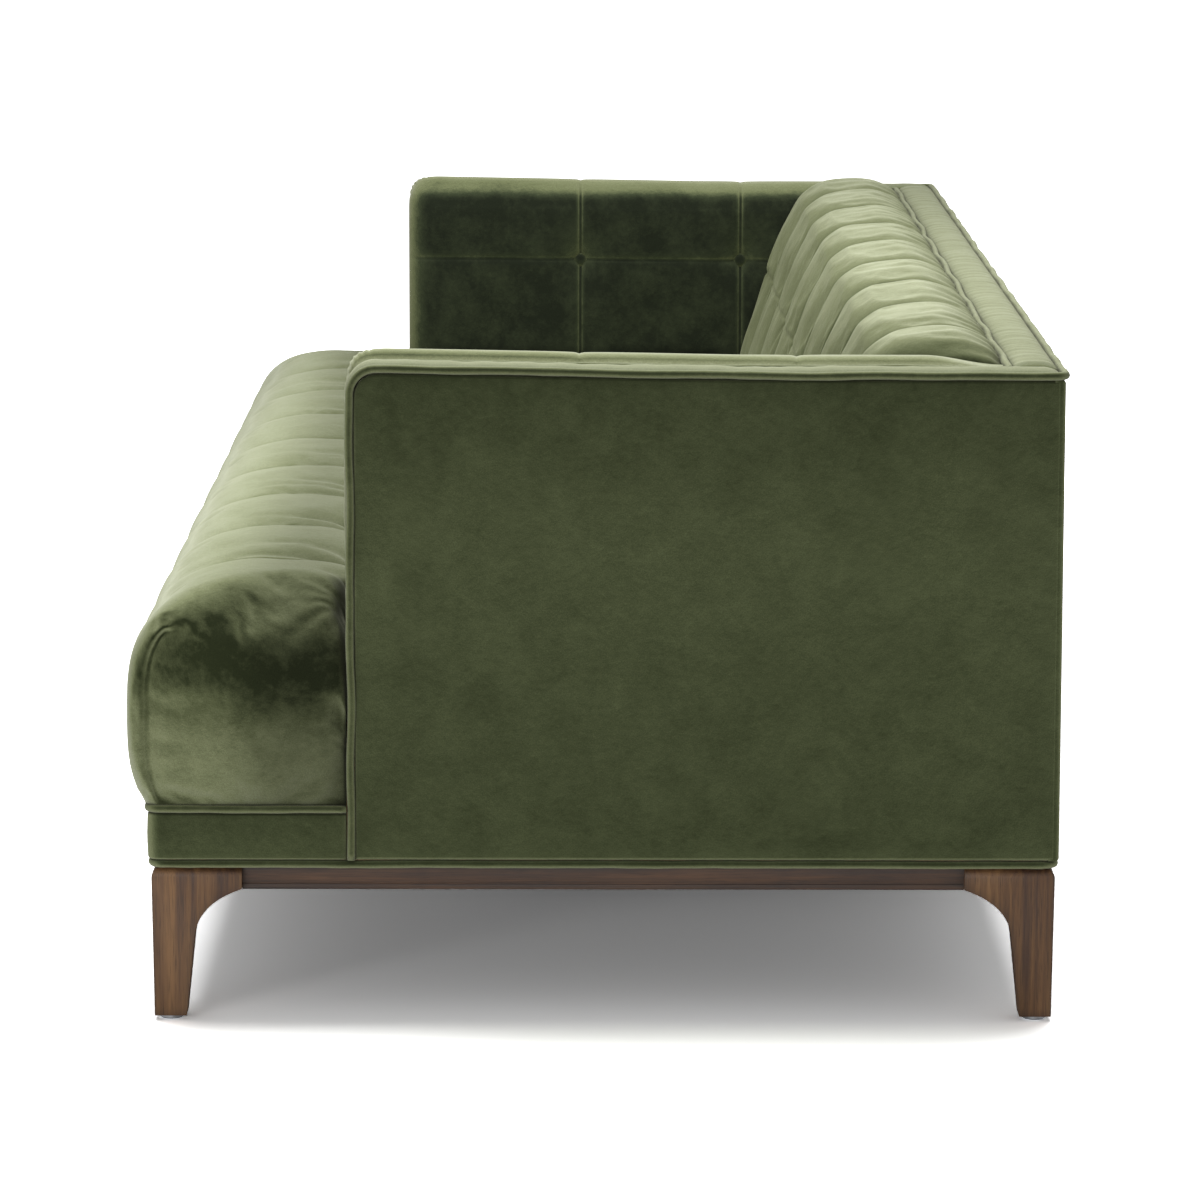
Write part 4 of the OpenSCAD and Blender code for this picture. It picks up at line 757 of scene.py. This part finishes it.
def back_surface():
    """Points of the cover and how far each is sewn down. Each channel sinks from its crown to its
    seams by the channel section; a stitched crease crosses it at the tufts; pleats leave each tuft,
    and fine gathers cross it where it meets the welt. The ends roll down beside the arm pads."""
    fine, run = smooth_curve(back_profile, np.linspace(0, 1, 1500))
    tuft = run * np.interp(0.587, fine[:1200, 1], np.linspace(0, 1, 1500)[:1200])
    s_line = even_lines([0.0, tuft, 0.78 * run, run], gap=0.0070, crowd=0.45)
    line, _ = smooth_curve(back_profile, s_line / run)
    along = np.gradient(line, axis=0)
    out = np.stack([-along[:, 1], along[:, 0]], 1) / np.linalg.norm(along, axis=1)[:, None]
    x_line = even_lines(np.r_[-between_pads, back_seams, between_pads], gap=0.0068, crowd=0.66)
    s, x = s_line[:, None], x_line[None, :]
    place = x / back_pitch + 4.5
    index, u, last, u_out, section, from_seam = nine_channels(place, back_pitch)
    depth = np.interp(s_line, run * np.array([0, 0.1, 0.2, 0.45, 0.62, 0.74, 0.86, 0.95, 1.0]),
                      [0.0, 0.006, 0.012, 0.0145, 0.0150, 0.0150, 0.013, 0.008, 0.0])[:, None]
    sink = depth * (1 - section)
    sink = sink + 0.0060 * np.exp(-from_seam / 0.0030) * np.clip(1 - (s - 0.93 * run) / (0.07 * run), 0, 1)
    away = np.abs(s - tuft)
    sink = sink + section * (0.0030 * np.exp(-away / 0.012) + 0.0020 * np.exp(-away / 0.0020))
    sink = sink + 0.0045 * np.exp(-np.hypot(away, from_seam) / 0.012)
    near_welt = np.clip((s - 0.76 * run) / (0.24 * run), 0, 1)
    wave = np.cos(2 * np.pi * (5.5 * u + 0.17 * index) + 2.2 * np.sin(2 * np.pi * u + index))
    sink = sink + 0.0026 * near_welt ** 1.9 * (1 - near_welt ** 10) * (1 + wave) * section
    chance = np.random.default_rng(23)
    for way in (-1, 1):
        past = np.clip((s - tuft) * way, 0, None)
        for i in range(9):
            for side in (0, 1):
                if (i == 0 and side == 0) or (i == 8 and side == 1):
                    continue
                count = int(chance.integers(1, 4))
                folds = pleats(u, past, back_pitch, side, chance.uniform(0.04, 0.30, count),
                               chance.uniform(0.04, 0.11, count), chance.uniform(0.0012, 0.0030, count))
                sink = sink + folds * (index == i) * (past > 0) * np.clip(section * 3, 0, 1)
    sink = sink - 0.0008 * wander(x, s, 9, 0.09) * section
    end = np.clip((np.abs(x) - (between_pads - 0.085)) / 0.085, 0, 1)
    rolled = 0.055 * (1 - np.sqrt(np.clip(1 - end ** 2, 0, 1)))
    sink = sink + rolled * np.clip(1 - (s - 0.86 * run) / (0.14 * run), 0, 1) ** 0.6
    sewn = np.clip(1.3 - from_seam / 0.004, 0, 1) + 0.8 * np.exp(-(away / 0.003) ** 2)
    sewn = sewn + np.exp(-(np.hypot(away, from_seam) / 0.010) ** 2)
    spot = np.stack([x * np.ones_like(s), line[:, 0][:, None] - out[:, 0][:, None] * sink,
                     line[:, 1][:, None] - out[:, 1][:, None] * sink], -1)
    sewn = np.clip(sewn, 0, 1)
    sewn[[0, -1]] = 1.0
    sewn[:, [0, -1]] = 1.0
    return spot, sewn


back_points, back_sewn = back_surface()
back = new_piece("back_cushion_cover", back_points, quads(*back_points.shape[:2])[:, ::-1], back_velvet)
settle(back, back_sewn.reshape(-1), spare=0.005, pressure=1.0, cap=0.0022)
tuck_under(back, lambda p: (p.x, max(p.y, 0.30 if p.z < 0.6 else 0.43),
                            p.z if p.z < 0.6 else min(p.z, 0.689)))
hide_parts("back_cushion")


# Inside arm pads
# Velvet over a thick pad on each arm's board, sewn across and down and pulled in at two covered
# buttons, then rolled over the top and the front to the inner welt.
edge_lines, edge_width = 14, 0.028
edge_curve, _ = smooth_curve([(0.0030, 0.0), (0.0080, 0.0028), (0.0110, 0.0085), (0.0116, 0.0165),
                              (0.0088, 0.0250), (0.0005, 0.0315), (-0.0115, 0.0357), (-0.0280, 0.0370)],
                             np.linspace(0, 1, edge_lines + 1))
pad_seams_y, pad_seam_z = [-0.0187, 0.2112], 0.594
arm_top, rail_top = 0.6935, 0.311


def arm_rise(y, z):
    """How far an arm stands above the CAD's level one at y and z: its top climbs by 6 mm from
    y = 0.15 to -0.22, and the rise fades out down the arm from 0.69 to 0.50 m."""
    return 0.006 * np.clip((0.15 - y) / 0.37, 0, 1) * np.clip((z - 0.50) / 0.19, 0, 1)


def pad_surface():
    """Points of the right pad. Lines run back along the arm and up it; the first 14 lines inside the
    front and the top follow the rolled edge, and in the corner between them each line keeps to its
    own place on the edge and turns through a quarter of a rounded square, with small gathers there.
    Seams press sharp grooves and the buttons pits, and short folds leave the buttons. The roll on
    top falls away behind, under the back cushion."""
    front, top, foot, rear = -0.2540, arm_top, rail_top, 0.4300
    flat_y = even_lines([front + edge_width, *pad_seams_y, rear], gap=0.0065, crowd=0.62)
    flat_z = even_lines([foot, pad_seam_z, top - edge_width], gap=0.0065, crowd=0.58)
    y_line = np.r_[front - edge_curve[:-1, 0], flat_y]
    z_line = np.r_[flat_z, (top + 1.15 * edge_curve[:-1, 0])[::-1]]
    edge_rise = edge_curve[:-1, 1] / edge_curve[-1, 1]
    rise_y, rise_z = np.r_[edge_rise, np.ones(len(flat_y))], np.r_[np.ones(len(flat_z)), edge_rise[::-1]]
    y, z = np.meshgrid(y_line, z_line)
    rise = np.minimum(rise_y[None, :], rise_z[:, None])
    from_front = np.clip(edge_lines - np.arange(len(y_line)), 0, None)[None, :] * np.ones(y.shape)
    from_top = np.clip(edge_lines - np.arange(len(z_line))[::-1], 0, None)[:, None] * np.ones(y.shape)
    outer = np.maximum(from_front, from_top).astype(int)
    share = np.minimum(from_front, from_top) / np.maximum(outer, 1)
    angle = np.pi / 4 * np.where(from_front >= from_top, share, 2 - share)
    ring_y = flat_y[0] - np.r_[flat_y[0], y_line[edge_lines - 1::-1]]
    ring_z = np.r_[flat_z[-1], z_line[len(flat_z):]] - flat_z[-1]
    gather = 0.0010 * (1 + np.cos(28 * angle)) * np.clip(3 * rise * (1 - rise), 0, 1)
    in_corner = (from_front > 0) & (from_top > 0)
    past_z = np.clip(z - top, 0, None)
    y = np.where(in_corner, flat_y[0] - (ring_y[outer] - gather) * np.cos(angle) ** 0.65, y)
    z = np.where(in_corner, flat_z[-1] + (ring_z[outer] - gather) * np.sin(angle) ** 0.65, z)
    behind = np.clip((y - 0.345) / 0.085, 0, 1)
    z = z - past_z * 0.8 * behind ** 2 * (3 - 2 * behind)
    seam_y = np.min([np.abs(y - s) for s in pad_seams_y], 0)
    seam_z = np.abs(z - pad_seam_z)
    dip = (0.0024 * np.exp(-seam_y / 0.012) + 0.0026 * np.exp(-(seam_y / 0.0026) ** 2)) * (0.4 + 0.6 * rise)
    dip = dip + (0.0018 * np.exp(-seam_z / 0.010) + 0.0016 * np.exp(-(seam_z / 0.0028) ** 2)) * rise
    pit = sum(0.0105 * np.exp(-(np.hypot(y - s, z - pad_seam_z) / 0.022) ** 1.3) for s in pad_seams_y)
    tall = np.abs(np.sin(np.pi * np.clip((z - 0.30) / 0.40, 0, 1))) ** 0.5
    swell = 0.0045 * np.abs(np.cos(np.pi * (y - pad_seams_y[0]) / 0.23)) ** 0.6 * tall
    folds = 0
    chance = np.random.default_rng(31)
    for s in pad_seams_y:
        r = np.hypot(y - s, z - pad_seam_z)
        turn = np.arctan2(z - pad_seam_z, y - s)
        for k in range(9):
            at = chance.uniform(-np.pi, np.pi)
            off = (turn - at + np.pi) % (2 * np.pi) - np.pi
            fold = 0.0018 * chance.uniform(0.4, 1) * np.exp(-(off / 0.16) ** 2)
            folds = folds + fold * np.clip(r / 0.012, 0, 1) * np.exp(-r / 0.05)
    depth = 0.0385 * rise + (swell - dip - pit - folds + 0.0010 * wander(y, z, 17, 0.12)) * rise
    z = z - dip * (1 - rise) + arm_rise(y, z)
    return np.stack([1.0930 - depth, y, z], -1)


pad_points = pad_surface()
for side, name in ((1, "right"), (-1, "left")):
    grid = quads(*pad_points.shape[:2])
    grid = grid if side < 0 else grid[:, ::-1]
    pad = new_piece("arm_pad_cover_" + name, pad_points * [side, 1, 1], grid, pad_velvet)
    tuck_under(pad, lambda p: (np.sign(p.x) * 1.0995, p.y, p.z))
    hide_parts("arm_pad_" + name)


# Covered buttons
# Tin shells covered with the pads' velvet, drawn through the arm's board on twine.
button_radius, button_sides = 0.0110, 32


def button_mesh(side, y):
    """A button: rings from its middle to its rim follow a flattened dome, then turn in behind it."""
    ring = np.array([(0.0, 0.0056), (0.25, 0.0055), (0.5, 0.0051), (0.7, 0.0043), (0.86, 0.0030),
                     (0.96, 0.0012), (1.0, -0.0008), (0.93, -0.0026), (0.6, -0.0036)])
    t = np.linspace(0, 2 * np.pi, button_sides, endpoint=False)
    r = ring[:, 0][:, None] * button_radius
    x = (1.0665 - ring[:, 1][:, None]) * np.ones_like(t) * side
    return np.stack([x, y + r * np.cos(t), pad_seam_z + r * np.sin(t)], -1)


for side, name in ((1, "right"), (-1, "left")):
    pair = np.array([button_mesh(side, y) for y in pad_seams_y])
    grid = quads(*pair.shape[1:3], wrap=True)
    grid = grid if side < 0 else grid[:, ::-1]
    buttons = new_piece("arm_buttons_" + name + "_covered", pair,
                        np.vstack([grid, grid + pair[0, ..., 0].size]), pad_velvet)
    merge_doubles(buttons)
    tuck_under(buttons)
    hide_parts("arm_buttons_" + name)


# Outside panels
# Velvet over thin wadding and card on the arms' outer sides and the back, drawn tight over the
# frame, turned in at the welts and tacked below.
def panel_surface(y_line, z_line, out, edge, seed, corner=0.0):
    """Points of a panel in its own plane, with its depth third: it lies at out, 0.6 mm fuller inside
    and uneven by 0.5 mm over 0.25 m, and is rounded down at its edges through a quarter circle of
    size edge. The corner at the first y and the last z is drawn in to the given radius."""
    y, z = np.meshgrid(y_line, z_line)
    from_edge = np.min([y - y_line[0], y_line[-1] - y, z - z_line[0], z_line[-1] - z], 0)
    if corner:
        a = np.clip(1 - (y - y_line[0]) / corner, 0, 1)
        b = np.clip(1 - (z_line[-1] - z) / corner, 0, 1)
        y, z = (y + corner * (a - a * np.sqrt(1 - b * b / 2)), z - corner * (b - b * np.sqrt(1 - a * a / 2)))
    swell = np.clip(from_edge / 0.06, 0, 1) * (2 - np.clip(from_edge / 0.06, 0, 1))
    depth = out - edge * quarter(from_edge / edge) + 0.0006 * swell
    depth = depth + 0.0005 * wander(y, z, seed, 0.25) * swell
    return y, z, depth


def edged(first, last, gap, edge):
    """Line places from first to last, gap apart, with five more lines inside each rounded edge."""
    inner = edge * np.array([0.0, 0.08, 0.25, 0.5, 0.8])
    count = int(round((last - first - 2 * edge) / gap))
    return np.r_[first + inner, np.linspace(first + edge, last - edge, count + 1), (last - inner)[::-1]]


velvet_foot, panel_top, arm_side, panel_edge = 0.1757, 0.6888, 1.1517, 0.0035
lines_y = edged(-0.2557, 0.4870, 0.011, panel_edge)
lines_z = edged(velvet_foot, panel_top, 0.011, panel_edge)
y, z, depth = panel_surface(lines_y, lines_z, arm_side, panel_edge, seed=41, corner=0.026)
z = z + arm_rise(y, z)
for side, name in ((1, "right"), (-1, "left")):
    grid = quads(len(lines_z), len(lines_y))
    grid = grid if side > 0 else grid[:, ::-1]
    panel = new_piece("outside_arm_" + name + "_cover", np.stack([side * depth, y, z], -1), grid,
                      panel_velvet)
    tuck_under(panel, lambda p: (np.sign(p.x) * 1.1402, p.y, p.z))
    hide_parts("outside_arm_" + name)

lines_x = edged(-1.1515, 1.1515, 0.015, panel_edge)
x, z, depth = panel_surface(lines_x, lines_z, 0.4911, panel_edge, seed=43)
outside_back = new_piece("outside_back_cover", np.stack([x, depth, z], -1),
                         quads(len(lines_z), len(lines_x))[:, ::-1], panel_velvet)
tuck_under(outside_back, lambda p: (p.x, 0.4797, p.z))
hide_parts("outside_back")


# Strips between the welts
# A velvet strip over wadding tops each arm and the back, and turns down the arms' fronts. It is
# sewn between two welts, and its slack stands in small cross gathers.
def strip(name, path, inward, width_from, width_to, across, crown, seed, node):
    """A puffed strip. path is its line, inward the direction to its underside at each point, and
    across the axis of its width: its section rises by crown as (1 - |2t - 1| ** 2.4) ** 0.62, with
    gathers of 15 and 35 mm across it, strongest beside the seams. It is 7 mm deep at its edges."""
    step = np.r_[0.0, np.cumsum(np.linalg.norm(np.diff(path, axis=0), axis=1))][:, None]
    t = 0.5 - 0.5 * np.cos(np.pi * np.linspace(0, 1, 15))[None, :]
    beside = 0.45 + np.exp(-np.minimum(t, 1 - t) / 0.16)
    gather = 0.0003 * wander(step, t * 0.012, seed, 0.015) + 0.0008 * wander(step, t * 0.025, seed + 1, 0.035)
    rise = (crown + beside * gather + 0.0008 * wander(step, 0.0 * t, seed + 2, 0.16)) * channel(t)
    rise = rise * np.clip(np.minimum(step, step[-1] - step) / 0.014, 0, 1) ** 0.5
    t, rise = np.c_[t, [[0.97, 0.5, 0.03]]], np.c_[rise, np.full((len(path), 3), -0.007)]
    spot = path[:, None, :] - inward[:, None, :] * rise[..., None]
    spot = spot + (width_from + (width_to - width_from) * t[0])[None, :, None] * np.array(across, float)
    made = new_piece(name, spot, quads(*spot.shape[:2], wrap=True), trim_velvet)
    tuck_under(made)
    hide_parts(node)


def arm_line(front, top, bend, rear, foot, gap):
    """The arm's line in Y and Z: up its front from foot, round a corner of radius bend and back
    along its top to rear, with the direction inwards at each point."""
    rise = np.arange(foot, top - bend, gap)
    turn = np.linspace(0, np.pi / 2, 14)
    run = np.arange(front + bend + gap, rear, gap)
    line = np.vstack([np.c_[0 * rise, np.full(len(rise), front), rise],
                      np.c_[0 * turn, front + bend * (1 - np.cos(turn)), top - bend * (1 - np.sin(turn))],
                      np.c_[0 * run, run, np.full(len(run), top)], [[0, rear, top]]])
    inward = np.vstack([np.c_[0 * rise, np.ones(len(rise)), 0 * rise],
                        np.c_[0 * turn, np.cos(turn), -np.sin(turn)],
                        np.c_[0 * run, 0 * run, -np.ones(len(run))], [[0, 0, -1]]])
    return line, inward


strip_top, strip_inner = 0.6930, 1.0985
line, inward = arm_line(front=-0.2590, top=strip_top, bend=0.0265, rear=0.4857, foot=rail_top, gap=0.0035)
line[:, 2] += arm_rise(line[:, 1], line[:, 2])
for side, name in ((1, "right"), (-1, "left")):
    strip("arm_boxing_" + name + "_cover", line, inward, side * strip_inner, side * 1.1475,
          across=(1, 0, 0), crown=0.0065, seed=50 + side, node="arm_boxing_" + name)
count = 630
line = np.stack([np.linspace(-strip_inner, strip_inner, count), np.zeros(count),
                 np.full(count, strip_top)], 1)
strip("back_boxing_cover", line, np.tile([0.0, 0.0, -1.0], (count, 1)), 0.4385, 0.4870,
      across=(0, 1, 0), crown=0.0080, seed=60, node="back_boxing")


# Band below the seat
# A plain strip of velvet over card, sewn to the welt under the cushion and tacked under the rail.
def band(name, path, inward, node):
    """A band round path: its section is flat, 0.8 mm fuller in the middle, with rounded edges, and
    11 mm deep."""
    edge = 0.0025
    z = edged(velvet_foot, 0.2257, 0.006, edge)
    low = np.minimum(z - z[0], z[-1] - z)
    depth = edge * quarter(low / edge)
    depth = depth - 0.0008 * np.clip(low / 0.02, 0, 1)
    z, depth = np.r_[z, z[-1], z[0]], np.r_[depth, 0.0105, 0.0105]
    spot = path[:, None, :] + inward[:, None, :] * depth[None, :, None]
    spot[..., 2] = z[None, :]
    made = new_piece(name, spot, quads(*spot.shape[:2], wrap=True), panel_velvet)
    tuck_under(made)
    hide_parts(node)


count = 180
front_path = np.stack([np.linspace(-1.1395, 1.1395, count), np.full(count, -0.4758), np.zeros(count)], 1)
band("seat_band_front_cover", front_path, np.tile([0.0, 1.0, 0.0], (count, 1)), "seat_band_front")
run = np.linspace(-0.2645, -0.462, 30)
turn = np.linspace(0, np.pi / 2, 9)[1:]
level = np.zeros(len(run) + len(turn))
path_x = np.r_[np.full(len(run), arm_side), 1.1397 + 0.012 * np.cos(turn)]
path_y = np.r_[run, -0.462 - 0.0138 * np.sin(turn)]
into_x, into_y = np.r_[-np.ones(len(run)), -np.cos(turn)], np.r_[np.zeros(len(run)), np.sin(turn)]
for side, name in ((1, "right"), (-1, "left")):
    band("seat_band_" + name + "_cover", np.c_[side * path_x, path_y, level],
         np.c_[side * into_x, into_y, level], "seat_band_" + name)


# Welts
# Velvet sewn round a 7 mm cord, one length for each seam: round the outer edge of the arms and
# back, round its inner edge, under the seat's cover, and round the whole base.
def cord(name, line, wave, seed, node, material, closed=False):
    """A round cord of 14 sides along line, whose centre wanders by wave over 80 to 200 mm."""
    radius, around = 0.0044, 14
    line = np.array(line, float)
    along = np.gradient(line, axis=0)
    if closed:
        along = np.roll(line, -1, 0) - np.roll(line, 1, 0)
    along /= np.linalg.norm(along, axis=1)[:, None]
    first = np.array([0.0, 0.0, 1.0]) if abs(along[0][2]) < 0.7 else np.array([1.0, 0.0, 0.0])
    sides = []
    for direction in along:
        first = first - direction * (first @ direction)
        first = first / np.linalg.norm(first)
        sides.append(first)
    u = np.array(sides)
    v = np.cross(along, u)
    step = np.r_[0.0, np.cumsum(np.linalg.norm(np.diff(line, axis=0), axis=1))]
    fade = np.minimum(1, np.minimum(step, step[-1] - step) / 0.05)
    sway_u, sway_v = wander(step, 0 * step, seed, 0.11), wander(step, 0 * step, seed + 1, 0.13)
    line = line + wave * fade[:, None] * (u * sway_u[:, None] + v * sway_v[:, None])
    thick = radius * (1 + 0.05 * wander(step, 0 * step, seed + 2, 0.03))
    t = np.linspace(0, 2 * np.pi, around, endpoint=False)
    ring = u[:, None, :] * np.cos(t)[None, :, None] + v[:, None, :] * np.sin(t)[None, :, None]
    spot = line[:, None, :] + thick[:, None, None] * ring
    faces = quads(len(line), around, wrap=True)
    if closed:
        last, i = (len(line) - 1) * around, np.arange(around)
        k = (i + 1) % around
        faces = np.vstack([faces, np.stack([last + i, last + k, k, i], 1)])
    made = new_piece(name, spot, faces, material)
    tuck_under(made)
    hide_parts(node)


def round_arms(x, y, foot):
    """The welt's line: up the right arm's front at x from foot, back along its top, across at y,
    and down the left arm. It rounds the front by 27 mm and the rear by 9 mm."""
    front, top, bend, corner, gap = -0.2595, arm_top, 0.0270, 0.009, 0.008
    rise = np.arange(foot, top - bend, gap)
    turn = np.linspace(0, np.pi / 2, 12)
    run = np.arange(front + bend + gap, y - corner, gap)
    arc = np.linspace(0, np.pi / 2, 8)
    over = np.arange(x - corner, 0, -gap)
    half = np.vstack([np.c_[np.full(len(rise), x), np.full(len(rise), front), rise],
                      np.c_[np.full(len(turn), x), front + bend * (1 - np.cos(turn)),
                            top - bend * (1 - np.sin(turn))],
                      np.c_[np.full(len(run), x), run, np.full(len(run), top)],
                      np.c_[x - corner * (1 - np.cos(arc)), y - corner * (1 - np.sin(arc)),
                            np.full(len(arc), top)],
                      np.c_[over[1:], np.full(len(over) - 1, y), np.full(len(over) - 1, top)]])
    return np.vstack([half, [[0, y, top]], (half * [-1, 1, 1])[::-1]])


outer_line = round_arms(1.151, 0.4905, velvet_foot)
inner_line = round_arms(1.096, 0.4355, 0.3100)
for line in (outer_line, inner_line):
    line[:, 2] += arm_rise(line[:, 1], line[:, 2])
pushed = np.cos(2 * np.pi * (inner_line[:, 0] / back_pitch + 4.0))
pushed = pushed * np.clip((1.05 - np.abs(inner_line[:, 0])) / 0.05, 0, 1)
inner_line[:, 1] += 0.0012 * pushed
inner_line[:, 2] += 0.0005 * pushed
cord("welt_outer_cord", outer_line, 0.0009, 81, "welt_outer", trim_velvet)
cord("welt_inner_cord", inner_line, 0.0011, 84, "welt_inner", trim_velvet)
arc = np.linspace(0, np.pi / 2, 9)
run = np.arange(-0.2645, -0.4605, -0.008)
over = np.arange(1.137, 0, -0.008)
half = np.vstack([np.c_[np.full(len(run), 1.151), run],
                  np.c_[1.137 + 0.014 * np.cos(arc), -0.461 - 0.014 * np.sin(arc)],
                  np.c_[over[1:], np.full(len(over) - 1, -0.475)]])
seat_line = np.vstack([half, [[0, -0.475]], (half * [-1, 1])[::-1]])
seat_line = np.c_[seat_line, np.full(len(seat_line), 0.2304)]
cord("welt_seat_cord", seat_line, 0.0004, 87, "welt_seat", trim_velvet)
side_run = np.arange(0.473, -0.4575, -0.008)
front_half = np.vstack([np.c_[np.full(len(side_run), 1.1475), side_run],
                        np.c_[1.1335 + 0.014 * np.cos(arc), -0.4575 - 0.014 * np.sin(arc)]])
over = np.arange(1.1335 - 0.008, -1.1335, -0.008)
loop = np.vstack([front_half, np.c_[over, np.full(len(over), -0.4715)], (front_half * [-1, 1])[::-1],
                  np.c_[-1.1335 - 0.014 * np.cos(arc[1:]), 0.473 + 0.014 * np.sin(arc[1:])],
                  np.c_[-over, np.full(len(over), 0.487)],
                  np.c_[1.1335 + 0.014 * np.cos(arc[::-1][:-1]), 0.473 + 0.014 * np.sin(arc[::-1][:-1])]])
loop = np.c_[loop, np.full(len(loop), 0.1708)]
cord("welt_base_cord", loop, 0.0003, 90, "welt_base", panel_velvet, closed=True)


# Foam
# Blocks of upholstery foam cut by a hot wire, under the seat's and the back's covers. Their edges
# are a little rounded by the wadding and the tight velvet.
def cut_foam():
    """Pale open-cell foam: 1.5 mm cells in relief, and a colour yellowed by noise of 60 mm."""
    made, tree = new_material("upholstery_foam")
    place = add(tree, "TexCoord").outputs["Object"]
    cells = add(tree, "TexVoronoi", {"Vector": place, "Scale": 650.0})
    cloud = add(tree, "TexNoise", {"Vector": place, "Scale": 16.0, "Detail": 2.0})
    ramp = add(tree, "ValToRGB", {"Fac": cloud.outputs[0]}, stops=[(0.3, "#d9cfa6"), (0.7, "#e9e2c4")])
    bump = add(tree, "Bump", {"Strength": 0.6, "Distance": 0.0006, "Height": cells.outputs["Distance"]})
    finish = add(tree, "BsdfPrincipled", {"Base Color": ramp.outputs["Color"], "Roughness": 0.95,
                                          "Normal": bump.outputs[0]})
    add(tree, "OutputMaterial", {"Surface": finish.outputs[0]})
    return made


foam = cut_foam()
for node in ("seat_foam", "back_foam"):
    block = eased(node, node + "_block", foam, radius=0.010)


# Deck, webbing and dust cover
# Burlap is stretched over the springs to carry the seat, five jute webs carry the back, and a thin
# black cloth is tacked under the rails to keep dust out.
def woven(name, warp, weft, thread):
    """Plain weave: a checker of sine waves, thread metres apart, sets which of two thread colours
    lies on top and how high, and noise of three threads roughens it."""
    made, tree = new_material(name)
    place = add(tree, "TexCoord").outputs["Object"]
    split = add(tree, "SeparateXYZ", {0: place})
    waves = []
    for axis in ("X", "Y"):
        turns = add(tree, "Math", {0: split.outputs[axis], 1: np.pi / thread}, operation="MULTIPLY")
        waves.append(add(tree, "Math", {0: turns.outputs[0]}, operation="SINE").outputs[0])
    crossed = add(tree, "Math", {0: waves[0], 1: waves[1]}, operation="MULTIPLY")
    over = add(tree, "MapRange", {"Value": crossed.outputs[0], "From Min": -0.5, "From Max": 0.5})
    fuzz = add(tree, "TexNoise", {"Vector": place, "Scale": 0.3 / thread, "Detail": 3.0})
    mixed = add(tree, "Mix", {"Factor": over.outputs[0], "A": linear(warp), "B": linear(weft)},
                data_type="RGBA")
    worn = add(tree, "MapRange", {"Value": fuzz.outputs[0], "From Min": 0.3, "From Max": 0.7,
                                  "To Min": 0.75, "To Max": 1.15})
    toned = add(tree, "Mix", {"Factor": 1.0, "A": mixed.outputs["Result"], "B": worn.outputs[0]},
                data_type="RGBA", blend_type="MULTIPLY", clamp_result=False)
    bump = add(tree, "Bump", {"Strength": 0.7, "Distance": 0.3 * thread, "Height": crossed.outputs[0]})
    finish = add(tree, "BsdfPrincipled", {"Base Color": toned.outputs["Result"], "Roughness": 0.9,
                                          "Normal": bump.outputs[0]})
    add(tree, "OutputMaterial", {"Surface": finish.outputs[0]})
    return made


def flat_cloth(name, low, high, axes, hang, material, seed):
    """A closed sheet between two corners, thick along the axis left out of axes. Every 20 mm its
    points move by hang: a bow of that depth in the middle, and a tenth of it as waves."""
    first, second = axes
    thick = 3 - first - second
    a, b = (np.linspace(low[k], high[k], int((high[k] - low[k]) / 0.02) + 2) for k in axes)
    p, q = np.meshgrid(a, b)
    share_p, share_q = (p - a[0]) / (a[-1] - a[0]), (q - b[0]) / (b[-1] - b[0])
    inner = np.sin(np.pi * share_p) ** 0.5 * np.sin(np.pi * share_q) ** 0.5
    bow = hang * inner * (1 + 0.1 * wander(p, q, seed, 0.3))
    layers = []
    for level in (low[thick], high[thick]):
        spot = np.empty(p.shape + (3,))
        spot[..., first], spot[..., second], spot[..., thick] = p, q, level + bow
        layers.append(spot)
    rim = np.arange(p.size).reshape(p.shape)
    rim = np.concatenate([rim[0, :], rim[1:, -1], rim[-1, -2::-1], rim[-2:0:-1, 0]])
    after = np.roll(rim, -1)
    grid = quads(*p.shape)
    faces = np.vstack([grid, grid[:, ::-1] + p.size, np.stack([rim, after, after + p.size, rim + p.size], 1)])
    return new_piece(name, np.array(layers).reshape(-1, 3), faces, material)


def faced_out(piece):
    """Turns a closed piece's faces outwards."""
    shell = bmesh.new()
    shell.from_mesh(piece.data)
    bmesh.ops.recalc_face_normals(shell, faces=shell.faces)
    shell.to_mesh(piece.data)
    shell.free()


burlap = woven("jute_burlap", "#9c7f55", "#86693f", 0.0016)
low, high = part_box("seat_deck")
deck = flat_cloth("seat_deck_burlap", low, high, (0, 1), 0.0, burlap, seed=101)
faced_out(deck)
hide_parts("seat_deck")

low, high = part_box("back_webbing")
web_width = 0.050
webs = [flat_cloth("web", (low.x, low.y, foot), (high.x, high.y, foot + web_width), (0, 2), 0.0, burlap,
                   seed=102) for foot in np.linspace(low.z, high.z - web_width, 5)]
with bpy.context.temp_override(active_object=webs[0], selected_editable_objects=webs):
    bpy.ops.object.join()
webbing = webs[0]
webbing.name = "back_webbing_jute"
faced_out(webbing)
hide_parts("back_webbing")

black_cloth = woven("black_dust_cloth", "#1d1d1e", "#2a2a2b", 0.0008)
low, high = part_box("dust_cover")
dust = flat_cloth("dust_cover_cloth", low, high, (0, 1), -0.004, black_cloth, seed=103)
faced_out(dust)
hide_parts("dust_cover")
